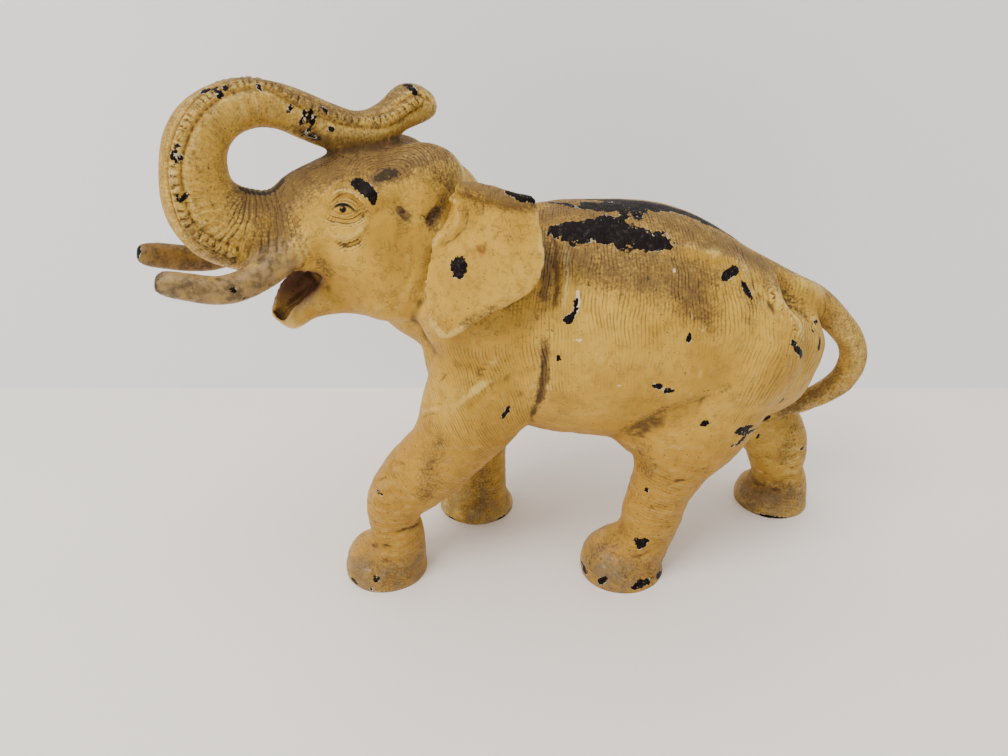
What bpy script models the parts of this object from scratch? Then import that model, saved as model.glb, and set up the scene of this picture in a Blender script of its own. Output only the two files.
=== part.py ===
"""Full-figure cast iron elephant doorstop: two hollow cast halves and two machine screws.

Metres, +Z up.  The head points to -X, the tail to +X, and the elephant's left side to -Y.
The figure is laid out on a drawing grid of GRID_LENGTH by GRID_HEIGHT steps, which LENGTH
and HEIGHT stretch to the real size; what has a thickness of its own is sized by itself.
"""
import bpy
import bmesh
import numpy as np
from math import radians, sin, cos, tan, tau
from mathutils import Matrix, Vector

# Driving dimensions
LENGTH = 0.2975             # tusk tip to tail
HEIGHT = 0.210              # soles to top of trunk
BODY_WIDTH = 0.089          # across the ribs
STANCE = 0.049              # between the middles of the left and right feet
HEAD_WIDTH = 0.058          # across the cheeks
HEAD_TURN = radians(30)     # towards the elephant's left
LEG_WIDTH = 0.030           # across a leg below the knee
FOOT_WIDTH = 0.0375         # across a foot at the sole
TRUNK_WIDTH = 0.017         # across the trunk at the top of its curl
TUSK_WIDTH = 0.0098         # halfway along a tusk
TAIL_WIDTH = 0.0118
EAR_THICKNESS = 0.0048
WALL = 0.0042               # iron round the hollow
PARTING_GAP = 0.0003        # between the two castings
SCREW_WIDTH = 0.0048
SCREW_CLEARANCE = 0.0007    # on the hole's width in the right casting
THREAD_FIT = 0.0006         # on the hole's width in the left casting
SCREW_HEAD_WIDTH = 0.0092
SCREW_HEAD_HEIGHT = 0.0031
SCREW_BITE = 0.011          # length of screw held in the left casting
SLOT_WIDTH = 0.0013
SLOT_DEPTH = 0.0014
BOSS_WIDTH = 0.0150
SEAT_GAP = 0.0003           # under a screw's head
SEAT_INSET = 0.0075         # of a screw's head seat from the widest part of the ribs
SEAT_CLEARANCE = 0.0014     # on the width of the seat round a screw's head
HOLE_RELIEF = 0.0020        # left beyond a screw's end

GRID_LENGTH = 297.5
GRID_HEIGHT = 210
GRID_WIDTH = 89
STEP_X = LENGTH / GRID_LENGTH
STEP_Y = BODY_WIDTH / GRID_WIDTH
STEP_Z = HEIGHT / GRID_HEIGHT
SIDE = STANCE / 2

RING_SIDES = 20
SMOOTH_PASSES = 12
SKIN_VOXEL = 0.0016
CORE_VOXEL = 0.0034
SKIN_FACES = 9000
CORE_FACES = 2200
ROD_SIDES = 20
BEND_PARTS = 6

NECK_X = -38                # where the turned head's middle crosses the body's
NECK_BEND = 22              # grid steps over which the joint bends, each side of NECK_X
KNEE = 62                   # grid height up to which the joint is flat
LEG_HOLLOW = 38             # grid height above which the legs are hollow
SCREW_PLACES = {"front_screw": (10, 122), "rear_screw": (92, 112)}


def clear_scene():
    for item in list(bpy.data.objects):
        bpy.data.objects.remove(item, do_unlink=True)


def new_collection(name):
    group = bpy.data.collections.new(name)
    bpy.context.scene.collection.children.link(group)
    return group


def principled(name, colour, roughness, metallic):
    material = bpy.data.materials.new(name)
    material.use_nodes = True
    shader = material.node_tree.nodes["Principled BSDF"]
    shader.inputs["Base Color"].default_value = (*colour, 1)
    shader.inputs["Roughness"].default_value = roughness
    shader.inputs["Metallic"].default_value = metallic
    return material


def at(x, y, z):
    """A point of the drawing grid in metres."""
    return Vector((x * STEP_X, y * STEP_Y, z * STEP_Z))


def curve_through(rows, parts=5):
    """Rows of numbers along a smooth curve through the given rows."""
    rows = np.array(rows, float)
    padded = np.vstack([2 * rows[0] - rows[1], rows, 2 * rows[-1] - rows[-2]])
    out = []
    for i in range(1, len(padded) - 2):
        a, b, c, d = padded[i - 1:i + 3]
        for t in np.arange(parts) / parts:
            out.append(0.5 * (2 * b + (c - a) * t + (2 * a - 5 * b + 4 * c - d) * t * t
                              + (3 * b - a - 3 * c + d) * t ** 3))
    out.append(rows[-1])
    return np.array(out)


def add_rings(bm, rings):
    """Joins rings of points, first to last, and closes both ends."""
    loops = [[bm.verts.new(point) for point in ring] for ring in rings]
    for low, high in zip(loops, loops[1:]):
        for i in range(len(low)):
            j = (i + 1) % len(low)
            bm.faces.new((low[i], low[j], high[j], high[i]))
    bm.faces.new(loops[0][::-1])
    bm.faces.new(loops[-1])


def loft(bm, stations, across=(0, 1, 0), shrink=0.0, place=Matrix()):
    """An oval body; a station is x, y, z, half size across and half size deep, in metres."""
    rows = curve_through(stations)
    centres = [Vector(row[:3]) for row in rows]
    rings = []
    for i, row in enumerate(rows):
        ahead = centres[min(i + 1, len(rows) - 1)] - centres[max(i - 1, 0)]
        side = Vector(across)
        side = (side - ahead * side.dot(ahead) / ahead.length_squared).normalized()
        deep = ahead.cross(side).normalized()
        wide = max(row[3] - shrink, 0.0003)
        tall = max(row[4] - shrink, 0.0003)
        rings.append([place @ (centres[i] + side * wide * cos(tau * k / RING_SIDES)
                               + deep * tall * sin(tau * k / RING_SIDES))
                      for k in range(RING_SIDES)])
    add_rings(bm, rings)


def lump(bm, centre, radii, lean=0.0, place=Matrix()):
    """An egg-shaped swelling; lean tips the end towards the nose down."""
    size = Matrix.Diagonal(radii).to_4x4()
    turn = Matrix.Rotation(-lean, 4, "Y")
    bmesh.ops.create_uvsphere(bm, u_segments=20, v_segments=12, radius=1,
                              matrix=place @ Matrix.Translation(centre) @ turn @ size)


def turned_head():
    """From the straight head's own frame to the body's."""
    neck = Matrix.Translation(at(NECK_X, 0, 0))
    return neck @ Matrix.Rotation(HEAD_TURN, 4, "Z") @ neck.inverted()


def add_trunk_and_head(bm, shrink=0.0):
    """Back of the head, cheeks, trunk root, the curl and the tip on the forehead."""
    half_head = HEAD_WIDTH / 2
    half_trunk = TRUNK_WIDTH / 2
    head = [(-6, 139, 0.5, 14), (-15, 143.5, 0.72, 22), (-27, 148, 0.9, 30.5), (-41, 150.5, 1, 34),
            (-55, 152, 1, 34), (-67, 155, 0.9, 28.5), (-78, 156.8, 0.72, 21),
            (-89, 155.5, 0.57, 16.2), (-100, 158, 0.52, 15)]
    trunk = [(-109.5, 162.5, 1.66, 14.8), (-114.8, 170.5, 1.52, 13.2), (-115.4, 181, 1.38, 11.2),
             (-112.6, 191.2, 1.28, 10.4), (-105.6, 198, 1.2, 9.4), (-96, 201.2, 1.1, 8.5),
             (-85, 200, 1.03, 8), (-76, 196.6, 1, 7.5), (-66.5, 192.4, 1, 7.4),
             (-58, 189.8, 1, 7), (-50.5, 190.2, 0.98, 6.9), (-42.5, 193.8, 0.93, 7),
             (-36.5, 197.4, 0.88, 7.4), (-31.5, 198.4, 0.88, 7.2), (-27, 197.6, 0.8, 5.8)]
    rows = [at(x, 0, z)[:] + (half_head * w, h * STEP_Z) for x, z, w, h in head]
    if not shrink:
        rows += [at(x, 0, z)[:] + (half_trunk * w, h * STEP_Z) for x, z, w, h in trunk]
    loft(bm, rows, shrink=shrink, place=turned_head())


def add_face(bm):
    """The two domes, brows, cheekbones and lower jaw, in the head's frame."""
    place = turned_head()
    half = HEAD_WIDTH / 2
    for side in (-1, 1):
        lump(bm, at(-38, 0, 171) + Vector((0, side * half * 0.46, 0)),
             (18 * STEP_X, half * 0.5, 15 * STEP_Z), place=place)
        lump(bm, at(-58, 0, 171) + Vector((0, side * half * 0.55, 0)),
             (14 * STEP_X, half * 0.38, 8 * STEP_Z), lean=radians(20), place=place)
        lump(bm, at(-49, 0, 140) + Vector((0, side * half * 0.42, 0)),
             (24 * STEP_X, half * 0.6, 22 * STEP_Z), lean=radians(12), place=place)
    jaw = [(-50, 132, 0.6, 12), (-62, 131, 0.56, 10), (-73, 130, 0.48, 7.6),
           (-83, 126.5, 0.36, 6), (-91, 122.8, 0.27, 4.8), (-96, 120.4, 0.18, 3)]
    loft(bm, [at(x, 0, z)[:] + (half * w, h * STEP_Z) for x, z, w, h in jaw], place=place)


def add_muscles(bm):
    """Shoulder and haunch muscles, the hip bones and the fold of skin at each groin."""
    half = BODY_WIDTH / 2
    for side in (-1, 1):
        for x, y, z, long, wide, tall, lean in BODY_FORMS:
            lump(bm, at(x, 0, z) + Vector((0, side * half * y, 0)),
                 (long * STEP_X, half * wide, tall * STEP_Z), lean=radians(lean))


def add_tusks(bm):
    half = TUSK_WIDTH / 2
    line = [(-82, 13, 156, 1.38), (-92, 15, 151.3, 1.28), (-101, 17, 146.8, 1.16),
            (-110, 18, 143.8, 1.06), (-118, 18.6, 143.4, 1), (-126, 18.8, 145, 0.9),
            (-133, 18.6, 147.4, 0.72), (-137.5, 18.3, 149.4, 0.38)]
    root_x, root_y, root_z, root_share = line[0]
    tip_z = line[-1][2]
    for side, reach, dip in ((-1, 1, 1), (1, 1.07, 0.5)):
        loft(bm, [at(root_x + (x - root_x) * reach, side * y, z + (1 - dip) * (tip_z - z + 2))[:]
                  + (half * w, half * w) for x, y, z, w in line], place=turned_head())


def add_body(bm, shrink=0.0):
    """Chest, ribs, belly and rump, then the neck up to the head."""
    half = BODY_WIDTH / 2
    ribs = [(-34, -2, 103, 0.36, 13), (-23, -1, 105, 0.62, 27), (-6, 0, 110, 0.84, 41),
            (15, 0, 112, 0.95, 48.5), (35, 0, 112.5, 1, 50), (55, 0, 111.5, 1, 50),
            (75, 0, 107.5, 0.97, 45.5), (95, 0, 103, 0.88, 39), (112, 0, 101, 0.72, 31.5),
            (124.5, 0, 105, 0.48, 19.5), (133.5, 0, 109, 0.2, 9.5)]
    loft(bm, [at(x, y, z)[:] + (half * w, h * STEP_Z) for x, y, z, w, h in ribs], shrink=shrink)
    neck = [(34, 0, 120, 0.7, 34), (12, 0, 123.5, 0.68, 36), (-7, 2, 126.5, 0.66, 36),
            (-24, 2, 133, 0.6, 33.5), (-36, 0, 141.5, 0.52, 31)]
    loft(bm, [at(x, y, z)[:] + (half * w, h * STEP_Z) for x, y, z, w, h in neck], shrink=shrink)
    spine = [(50, 0, 153, 0.16, 8), (70, 0, 148, 0.16, 8), (90, 0, 138.6, 0.16, 8),
             (110, 0, 129, 0.14, 8), (124, 1, 122.5, 0.12, 7.5)]
    if not shrink:
        loft(bm, [at(x, y, z)[:] + (half * w, h * STEP_Z) for x, y, z, w, h in spine])


BODY_FORMS = [(-2, 0.52, 116, 22, 0.4, 34, 62), (88, 0.5, 100, 26, 0.44, 34, -62),
              (84, 0.42, 136, 12, 0.24, 8, -20), (61, 0.4, 69, 18, 0.36, 10, -28)]
FRONT_LEFT = [(2, 0.62, 118, 1.1, 25), (-4, 0.84, 98, 1.28, 24), (-14, 0.98, 80, 1.2, 21.5),
              (-24, 1.06, 64, 1.08, 17), (-36.5, 1.1, 51, 0.98, 16.8),
              (-46.5, 1.1, 39, 0.9, 13.8), (-48.4, 1.08, 29, 0.85, 11.6),
              (-47, 1.06, 20.5, 0.84, 11.4), (-49, 1.04, 13, 0.92, 12.2),
              (-51.6, 1.02, 6.5, 1.06, 15.2)]
FRONT_RIGHT = [(2, 0.62, 116, 1.1, 25), (-6, 0.86, 92, 1.2, 21), (-9, 0.98, 66, 1.02, 15.5),
               (-10.5, 1, 46, 0.9, 13), (-11, 1, 31, 0.85, 12), (-10.5, 1, 20, 0.84, 11.8),
               (-12, 1, 12.5, 0.98, 14), (-13.5, 1, 7, 1.12, 17)]
REAR_LEFT = [(98, 0.5, 108, 1.05, 29), (86, 0.84, 88, 1.2, 25.5), (75, 1, 70, 1.15, 21.5),
             (70.5, 1.05, 55, 1.02, 15.2), (67.2, 1.06, 42, 0.94, 13.2), (65, 1.05, 30, 0.9, 13.4),
             (62, 1.04, 20.5, 0.9, 12.8), (59.2, 1.03, 12.5, 0.96, 14),
             (56, 1.02, 6.5, 1.1, 17)]
REAR_RIGHT = [(92, 0.5, 106, 1.05, 27), (103, 0.84, 84, 1.14, 20.5), (114.5, 1, 66, 1.04, 17.4),
              (125, 1.08, 51, 0.98, 16.6), (134, 1.12, 39, 0.94, 15.8), (136.6, 1.12, 28, 0.9, 14),
              (138.5, 1.12, 19.5, 0.88, 12.6), (140, 1.13, 12.5, 0.96, 14.2),
              (138, 1.14, 6.5, 1.06, 16.6)]
SOLES = {"left_front": (-54, 1.02, 0.95), "right_front": (-14, 1, 1.03),
         "left_rear": (54, 1.02, 1), "right_rear": (136, 1.15, 0.97)}


def add_leg(bm, line, sole, side, hollow_above=0.0, shrink=0.0):
    """A leg from inside the body down to a foot that runs on below the floor's level."""
    half = LEG_WIDTH / 2
    rows = [(x * STEP_X, side * y * SIDE, z * STEP_Z, half * w, d * STEP_X)
            for x, y, z, w, d in line if z * STEP_Z >= hollow_above]
    if not shrink:
        x, y, size = sole
        for z, share in ((2.5, 1.0), (-1, 0.98), (-6, 0.9)):
            half_foot = FOOT_WIDTH / 2 * size * share
            rows.append((x * STEP_X, side * y * SIDE, z * STEP_Z, half_foot, half_foot))
    loft(bm, rows, shrink=shrink)


def add_legs(bm, hollow_above=0.0, shrink=0.0):
    for line, name, side in ((FRONT_LEFT, "left_front", -1), (FRONT_RIGHT, "right_front", 1),
                             (REAR_LEFT, "left_rear", -1), (REAR_RIGHT, "right_rear", 1)):
        add_leg(bm, line, SOLES[name], side, hollow_above, shrink)


def add_tail(bm):
    """From the root over the rump round to the right haunch."""
    half = TAIL_WIDTH / 2
    line = [(118, 6.8, 123, 1.1), (131.5, 7.6, 118.5, 1.2), (144, 7.4, 108.6, 1.12),
            (153, 7, 98.4, 1.03),
            (155.6, 7.4, 88, 1.03), (152.4, 8, 78, 1.02), (143.5, 9.5, 70, 0.93),
            (132.5, 12, 63.6, 0.84), (122, 14, 59.6, 0.76), (111, 16, 58, 0.7)]
    loft(bm, [at(x, y, z)[:] + (half * w, half * w) for x, y, z, w in line])


def add_ear(bm, rows):
    """A blade through rows of front point and back point, rounded at its edges."""
    half = EAR_THICKNESS / 2
    smooth = curve_through([front + back for front, back in rows])
    rings = []
    for i, row in enumerate(smooth):
        front = at(*row[:3])
        back = at(*row[3:])
        centre = (front + back) / 2
        chord = (back - front) / 2
        nearby = smooth[max(i - 1, 0)], smooth[min(i + 1, len(smooth) - 1)]
        along = at(*(nearby[1][:3] + nearby[1][3:])) - at(*(nearby[0][:3] + nearby[0][3:]))
        out = chord.cross(along).normalized() * half
        rings.append([centre + chord * cos(tau * k / RING_SIDES)
                      + out * max(min(1.6 * sin(tau * k / RING_SIDES), 1), -1)
                      for k in range(RING_SIDES)])
    add_rings(bm, rings)


LEFT_EAR = [((-17, -24, 172.5), (-3, -31, 177)), ((-19, -25, 168), (9.5, -46, 174.5)),
            ((-21, -27, 161.5), (14, -49, 165)), ((-25, -30, 153), (15.5, -50, 153)),
            ((-29, -33, 143), (15, -48.5, 144)), ((-29, -36, 134), (9.5, -47, 136.5)),
            ((-27, -38.5, 127), (0, -46, 130)), ((-24, -41, 121), (-9, -45.5, 123.5)),
            ((-19.5, -43, 116.5), (-16.5, -44.5, 117.5))]
RIGHT_EAR = [((-22, 34, 158), (-12, 36, 160)), ((-24, 36, 154), (4, 45, 157)),
             ((-26, 38, 148), (11, 49, 150)), ((-27, 39, 141), (13.5, 50, 141)),
             ((-27, 40, 133), (13, 49, 133)), ((-26, 40, 125), (8, 48, 126)),
             ((-24, 40, 118), (0, 47, 120)), ((-21, 41, 112.5), (-8, 46, 114)),
             ((-17.5, 43, 108), (-14.5, 44.5, 108.5))]


def mesh_object(name, bm, group):
    bmesh.ops.recalc_face_normals(bm, faces=bm.faces)
    mesh = bpy.data.meshes.new(name)
    bm.to_mesh(mesh)
    bm.free()
    item = bpy.data.objects.new(name, mesh)
    group.objects.link(item)
    return item


def evaluated_copy(item, name, group):
    """The object with its modifiers worked out, in place of the object."""
    bpy.context.view_layer.update()
    mesh = bpy.data.meshes.new_from_object(
        item.evaluated_get(bpy.context.evaluated_depsgraph_get()))
    mesh.name = name
    group.objects.unlink(item)
    bpy.data.objects.remove(item)
    copy = bpy.data.objects.new(name, mesh)
    group.objects.link(copy)
    return copy


def fused(item, voxel, passes, faces, group):
    """Runs the overlapping forms together into one smooth skin of about so many faces."""
    remesh = item.modifiers.new("fuse", "REMESH")
    remesh.mode = "VOXEL"
    remesh.voxel_size = voxel
    smooth = item.modifiers.new("soften", "SMOOTH")
    smooth.factor = 0.5
    smooth.iterations = passes
    item = evaluated_copy(item, item.name, group)
    thin = item.modifiers.new("thin", "DECIMATE")
    triangles = sum(len(face.vertices) - 2 for face in item.data.polygons)
    thin.ratio = min(1, faces / triangles)
    return evaluated_copy(item, item.name, group)


def whole_figure(group):
    bm = bmesh.new()
    add_body(bm)
    add_muscles(bm)
    add_trunk_and_head(bm)
    add_face(bm)
    add_tusks(bm)
    add_legs(bm)
    add_tail(bm)
    add_ear(bm, LEFT_EAR)
    add_ear(bm, RIGHT_EAR)
    return fused(mesh_object("figure", bm, group), SKIN_VOXEL, SMOOTH_PASSES, SKIN_FACES, group)


def parting_line(offset, turned):
    """The castings' joint seen from above: along the body and, if turned, on along the head."""
    neck = at(NECK_X, 0, 0)
    turn = HEAD_TURN if turned else 0
    start = neck + Vector((NECK_BEND * STEP_X, 0, 0))
    points, lefts = [start + Vector((2 * LENGTH, 0, 0))], [Vector((0, -1, 0))]
    if turned:
        radius = NECK_BEND * STEP_X / tan(turn / 2)
        centre = start - Vector((0, radius, 0))
        for k in range(BEND_PARTS + 1):
            angle = turn * k / BEND_PARTS
            lefts.append(Vector((sin(angle), -cos(angle), 0)))
            points.append(centre - lefts[-1] * radius)
    lefts.append(Vector((sin(turn), -cos(turn), 0)))
    points.append(points[-1] - Vector((cos(turn), sin(turn), 0)) * 3 * LENGTH)
    return [point + left * offset for point, left in zip(points, lefts)]


def prism(name, outline, low, high, group):
    """A solid upright block over a flat outline."""
    curve = bpy.data.curves.new(name, "CURVE")
    curve.dimensions = "2D"
    curve.fill_mode = "BOTH"
    curve.extrude = (high - low) / 2
    spline = curve.splines.new("POLY")
    spline.points.add(len(outline) - 1)
    for point, place in zip(spline.points, outline):
        point.co = (place.x, place.y, 0, 1)
    spline.use_cyclic_u = True
    item = bpy.data.objects.new(name, curve)
    item.location.z = (low + high) / 2
    group.objects.link(item)
    bpy.context.view_layer.update()
    mesh = bpy.data.meshes.new_from_object(
        item.evaluated_get(bpy.context.evaluated_depsgraph_get()))
    place = item.matrix_world.copy()
    bpy.data.objects.remove(item)
    bm = bmesh.new()
    bm.from_mesh(mesh)
    bmesh.ops.remove_doubles(bm, verts=bm.verts, dist=1e-6)
    block = mesh_object(name, bm, group)
    block.matrix_world = place
    return as_cutter(block)


def as_cutter(item):
    item.hide_render = True
    item.display_type = "WIRE"
    return item


def half_space(name, side, group):
    """All of the space on one side of the joint and above the floor.

    Below the knees the joint is flat, so that the forward foot stays whole.
    """
    blocks = []
    level = KNEE * STEP_Z
    for low, high, turned in ((0, level + WALL, False), (level, 2 * HEIGHT, True)):
        line = parting_line(-side * PARTING_GAP / 2, turned)
        far = Vector((0, side * 3 * LENGTH, 0))
        outline = line + [line[-1] + far, line[0] + far]
        blocks.append(prism(f"{name}_{len(blocks)}", outline, low, high, group))
    boolean(blocks[0], blocks[1], "UNION")
    return blocks[0]


def rod(name, place, radius, start, end, group):
    """A round bar along Y at a place on the drawing grid, from start to end in metres."""
    x, z = place
    bm = bmesh.new()
    bmesh.ops.create_cone(bm, cap_ends=True, segments=ROD_SIDES, radius1=radius, radius2=radius,
                          depth=abs(end - start))
    bmesh.ops.rotate(bm, verts=bm.verts, matrix=Matrix.Rotation(radians(90), 3, "X"))
    item = mesh_object(name, bm, group)
    item.location = at(x, 0, z) + Vector((0, (start + end) / 2, 0))
    return as_cutter(item)


def boolean(item, cutter, operation):
    modifier = item.modifiers.new(cutter.name, "BOOLEAN")
    modifier.operation = operation
    modifier.object = cutter


def hollow_core(group, cutters):
    """The hollow: the figure without trunk tip, tusks, ears, tail and feet, less the bosses."""
    bm = bmesh.new()
    add_body(bm, shrink=WALL)
    add_trunk_and_head(bm, shrink=WALL)
    add_legs(bm, hollow_above=LEG_HOLLOW * STEP_Z, shrink=WALL)
    core = fused(mesh_object("core", bm, group), CORE_VOXEL, 3, CORE_FACES, group)
    for name, place in SCREW_PLACES.items():
        boss = rod(name + "_boss", place, BOSS_WIDTH / 2, -BODY_WIDTH, BODY_WIDTH, cutters)
        boolean(core, boss, "DIFFERENCE")
    return as_cutter(core)


def mouth_hollow(cutters):
    """The scoop along the top of the lower jaw and up into the mouth."""
    bm = bmesh.new()
    lump(bm, at(-84, 0, 132.5), (17 * STEP_X, HEAD_WIDTH * 0.125, 5.2 * STEP_Z),
         lean=radians(30), place=turned_head())
    return as_cutter(mesh_object("mouth", bm, cutters))


def screw_seat():
    return BODY_WIDTH / 2 - SEAT_INSET


def add_screw(name, place, group):
    """Round-headed slotted machine screw, put in from the right side."""
    head = SCREW_HEAD_WIDTH / 2
    shank = SCREW_WIDTH / 2
    tip = screw_seat() + SCREW_BITE
    bm = bmesh.new()
    crown = [(head * cos(radians(a)), SCREW_HEAD_HEIGHT * sin(radians(a))) for a in (75, 55, 35, 15)]
    profile = [(0, SCREW_HEAD_HEIGHT)] + crown + [(head, 0), (shank, 0), (shank, -tip + shank / 2),
                                                   (shank / 2, -tip), (0, -tip)]
    verts = [bm.verts.new((r, 0, h)) for r, h in profile]
    for a, b in zip(verts, verts[1:]):
        bm.edges.new((a, b))
    screw = mesh_object(name, bm, group)
    spin = screw.modifiers.new("turned", "SCREW")
    spin.steps = spin.render_steps = ROD_SIDES
    spin.use_merge_vertices = True
    spin.merge_threshold = 0.00001
    slot = bmesh.new()
    bmesh.ops.create_cube(slot, size=1)
    slot = mesh_object(name + "_slot", slot, bpy.data.collections["cutters"])
    slot.scale = (SLOT_WIDTH, SCREW_HEAD_WIDTH * 2, SLOT_DEPTH * 2)
    slot.location.z = SCREW_HEAD_HEIGHT
    slot.parent = screw
    boolean(screw, as_cutter(slot), "DIFFERENCE")
    x, z = place
    screw.rotation_euler.x = radians(-90)
    screw.location = at(x, 0, z) + Vector((0, screw_seat() + SEAT_GAP, 0))
    return screw


def add_castings(group, cutters):
    """The left casting, tapped for the screws, and the right one, with their seats."""
    left = whole_figure(group)
    left.name = left.data.name = "left_casting"
    right = left.copy()
    right.data = left.data.copy()
    right.name = right.data.name = "right_casting"
    group.objects.link(right)
    core = hollow_core(group, cutters)
    boolean(left, half_space("left_side", -1, cutters), "INTERSECT")
    boolean(right, half_space("right_side", 1, cutters), "INTERSECT")
    for hollow in (core, mouth_hollow(cutters)):
        boolean(left, hollow, "DIFFERENCE")
        boolean(right, hollow, "DIFFERENCE")
    for name, place in SCREW_PLACES.items():
        depth = SCREW_BITE + HOLE_RELIEF
        tapped = rod(name + "_thread", place, (SCREW_WIDTH + THREAD_FIT) / 2, -depth, depth, cutters)
        boolean(left, tapped, "DIFFERENCE")
        clearance = rod(name + "_hole", place, (SCREW_WIDTH + SCREW_CLEARANCE) / 2,
                        -BODY_WIDTH / 4, BODY_WIDTH, cutters)
        boolean(right, clearance, "DIFFERENCE")
        seat = rod(name + "_seat", place, (SCREW_HEAD_WIDTH + SEAT_CLEARANCE) / 2,
                   screw_seat(), BODY_WIDTH, cutters)
        boolean(right, seat, "DIFFERENCE")
    return left, right


def stand_on_origin(group, cutters):
    """Hangs everything on one empty and sets it so that the figure stands over the origin."""
    frame = bpy.data.objects.new("doorstop", None)
    group.objects.link(frame)
    for item in list(group.objects) + list(cutters.objects):
        if item is not frame and item.parent is None:
            item.parent = frame
    bpy.context.view_layer.update()
    depsgraph = bpy.context.evaluated_depsgraph_get()
    corners = []
    for item in group.objects:
        if item.type == "MESH":
            solid = item.evaluated_get(depsgraph)
            corners += [solid.matrix_world @ vertex.co for vertex in solid.data.vertices]
    corners = np.array(corners)
    middle = (corners.min(0) + corners.max(0)) / 2
    frame.location = (-middle[0], -middle[1], 0)
    bpy.context.view_layer.update()


clear_scene()
parts = new_collection("elephant_doorstop")
cutters = new_collection("cutters")
paint = principled("ochre_paint", (0.55, 0.34, 0.1), 0.55, 0)
iron = principled("dark_iron", (0.05, 0.045, 0.04), 0.5, 0.7)
for casting in add_castings(parts, cutters):
    casting.data.materials.append(paint)
for screw_name, screw_place in SCREW_PLACES.items():
    add_screw(screw_name, screw_place, parts).data.materials.append(iron)
stand_on_origin(parts, cutters)
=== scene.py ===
"""Looks of the full-figure cast iron elephant doorstop: two painted castings and two screws.

The figure is shaped in millimetres on the drawing grid of its CAD, with the head to -X, the
elephant's left side to -Y and the soles at z 0.  The head, trunk and tusks are laid out
straight ahead and then turned to the left with the neck.  The finished halves are set in the
row frame, in metres.
"""
from math import radians, sin, cos, tan, tau
import bpy
import bmesh
import numpy as np
from mathutils import Matrix, Vector, kdtree


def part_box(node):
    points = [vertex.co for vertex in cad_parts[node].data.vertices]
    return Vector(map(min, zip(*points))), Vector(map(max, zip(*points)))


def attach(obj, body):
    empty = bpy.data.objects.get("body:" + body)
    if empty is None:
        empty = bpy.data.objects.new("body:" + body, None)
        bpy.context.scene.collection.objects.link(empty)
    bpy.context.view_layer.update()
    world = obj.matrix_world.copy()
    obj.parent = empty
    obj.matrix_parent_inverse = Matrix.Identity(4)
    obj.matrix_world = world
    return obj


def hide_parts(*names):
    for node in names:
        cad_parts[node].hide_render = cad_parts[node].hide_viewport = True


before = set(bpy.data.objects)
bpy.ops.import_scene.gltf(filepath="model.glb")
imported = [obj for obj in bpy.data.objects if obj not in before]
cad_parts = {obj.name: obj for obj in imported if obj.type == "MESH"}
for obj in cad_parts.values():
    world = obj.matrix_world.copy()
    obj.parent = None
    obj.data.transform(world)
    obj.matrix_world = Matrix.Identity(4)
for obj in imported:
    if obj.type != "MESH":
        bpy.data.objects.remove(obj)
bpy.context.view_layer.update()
scene = bpy.context.scene

# Where the drawing grid lies in the row frame, from the places on the grid of the front
# screw's middle and of the top of its head.
screw_low, screw_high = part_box("front_screw")
MM = 0.001
SCREW_X, SCREW_TOP_Y = 10, 40.4
TO_ROW = (Matrix.Translation(((screw_low.x + screw_high.x) / 2 - SCREW_X * MM,
                              screw_high.y - SCREW_TOP_Y * MM, 0)) @ Matrix.Scale(MM, 4))

# Camera of the photograph, looking down 26 degrees from in front of the left side.
camera = bpy.data.objects.new("camera", bpy.data.cameras.new("camera"))
scene.collection.objects.link(camera)
camera.location = TO_ROW @ Vector((0, -300, 230))
camera.rotation_euler.x = radians(64)
camera.data.sensor_width = 36
camera.data.lens = 27.04
camera.data.clip_start = 0.01
scene.camera = camera


class Shade:
    """A value in a material's node tree, which takes part in arithmetic."""

    def __init__(self, recipe, socket):
        self.recipe, self.socket = recipe, socket

    def __add__(self, other):
        return self.recipe.math("ADD", self, other)

    def __sub__(self, other):
        return self.recipe.math("SUBTRACT", self, other)

    def __rsub__(self, other):
        return self.recipe.math("SUBTRACT", other, self)

    def __mul__(self, other):
        return self.recipe.math("MULTIPLY", self, other)

    __radd__, __rmul__ = __add__, __mul__

    def clip(self):
        return self.recipe.smooth(self, 0, 1, "LINEAR")


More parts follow.
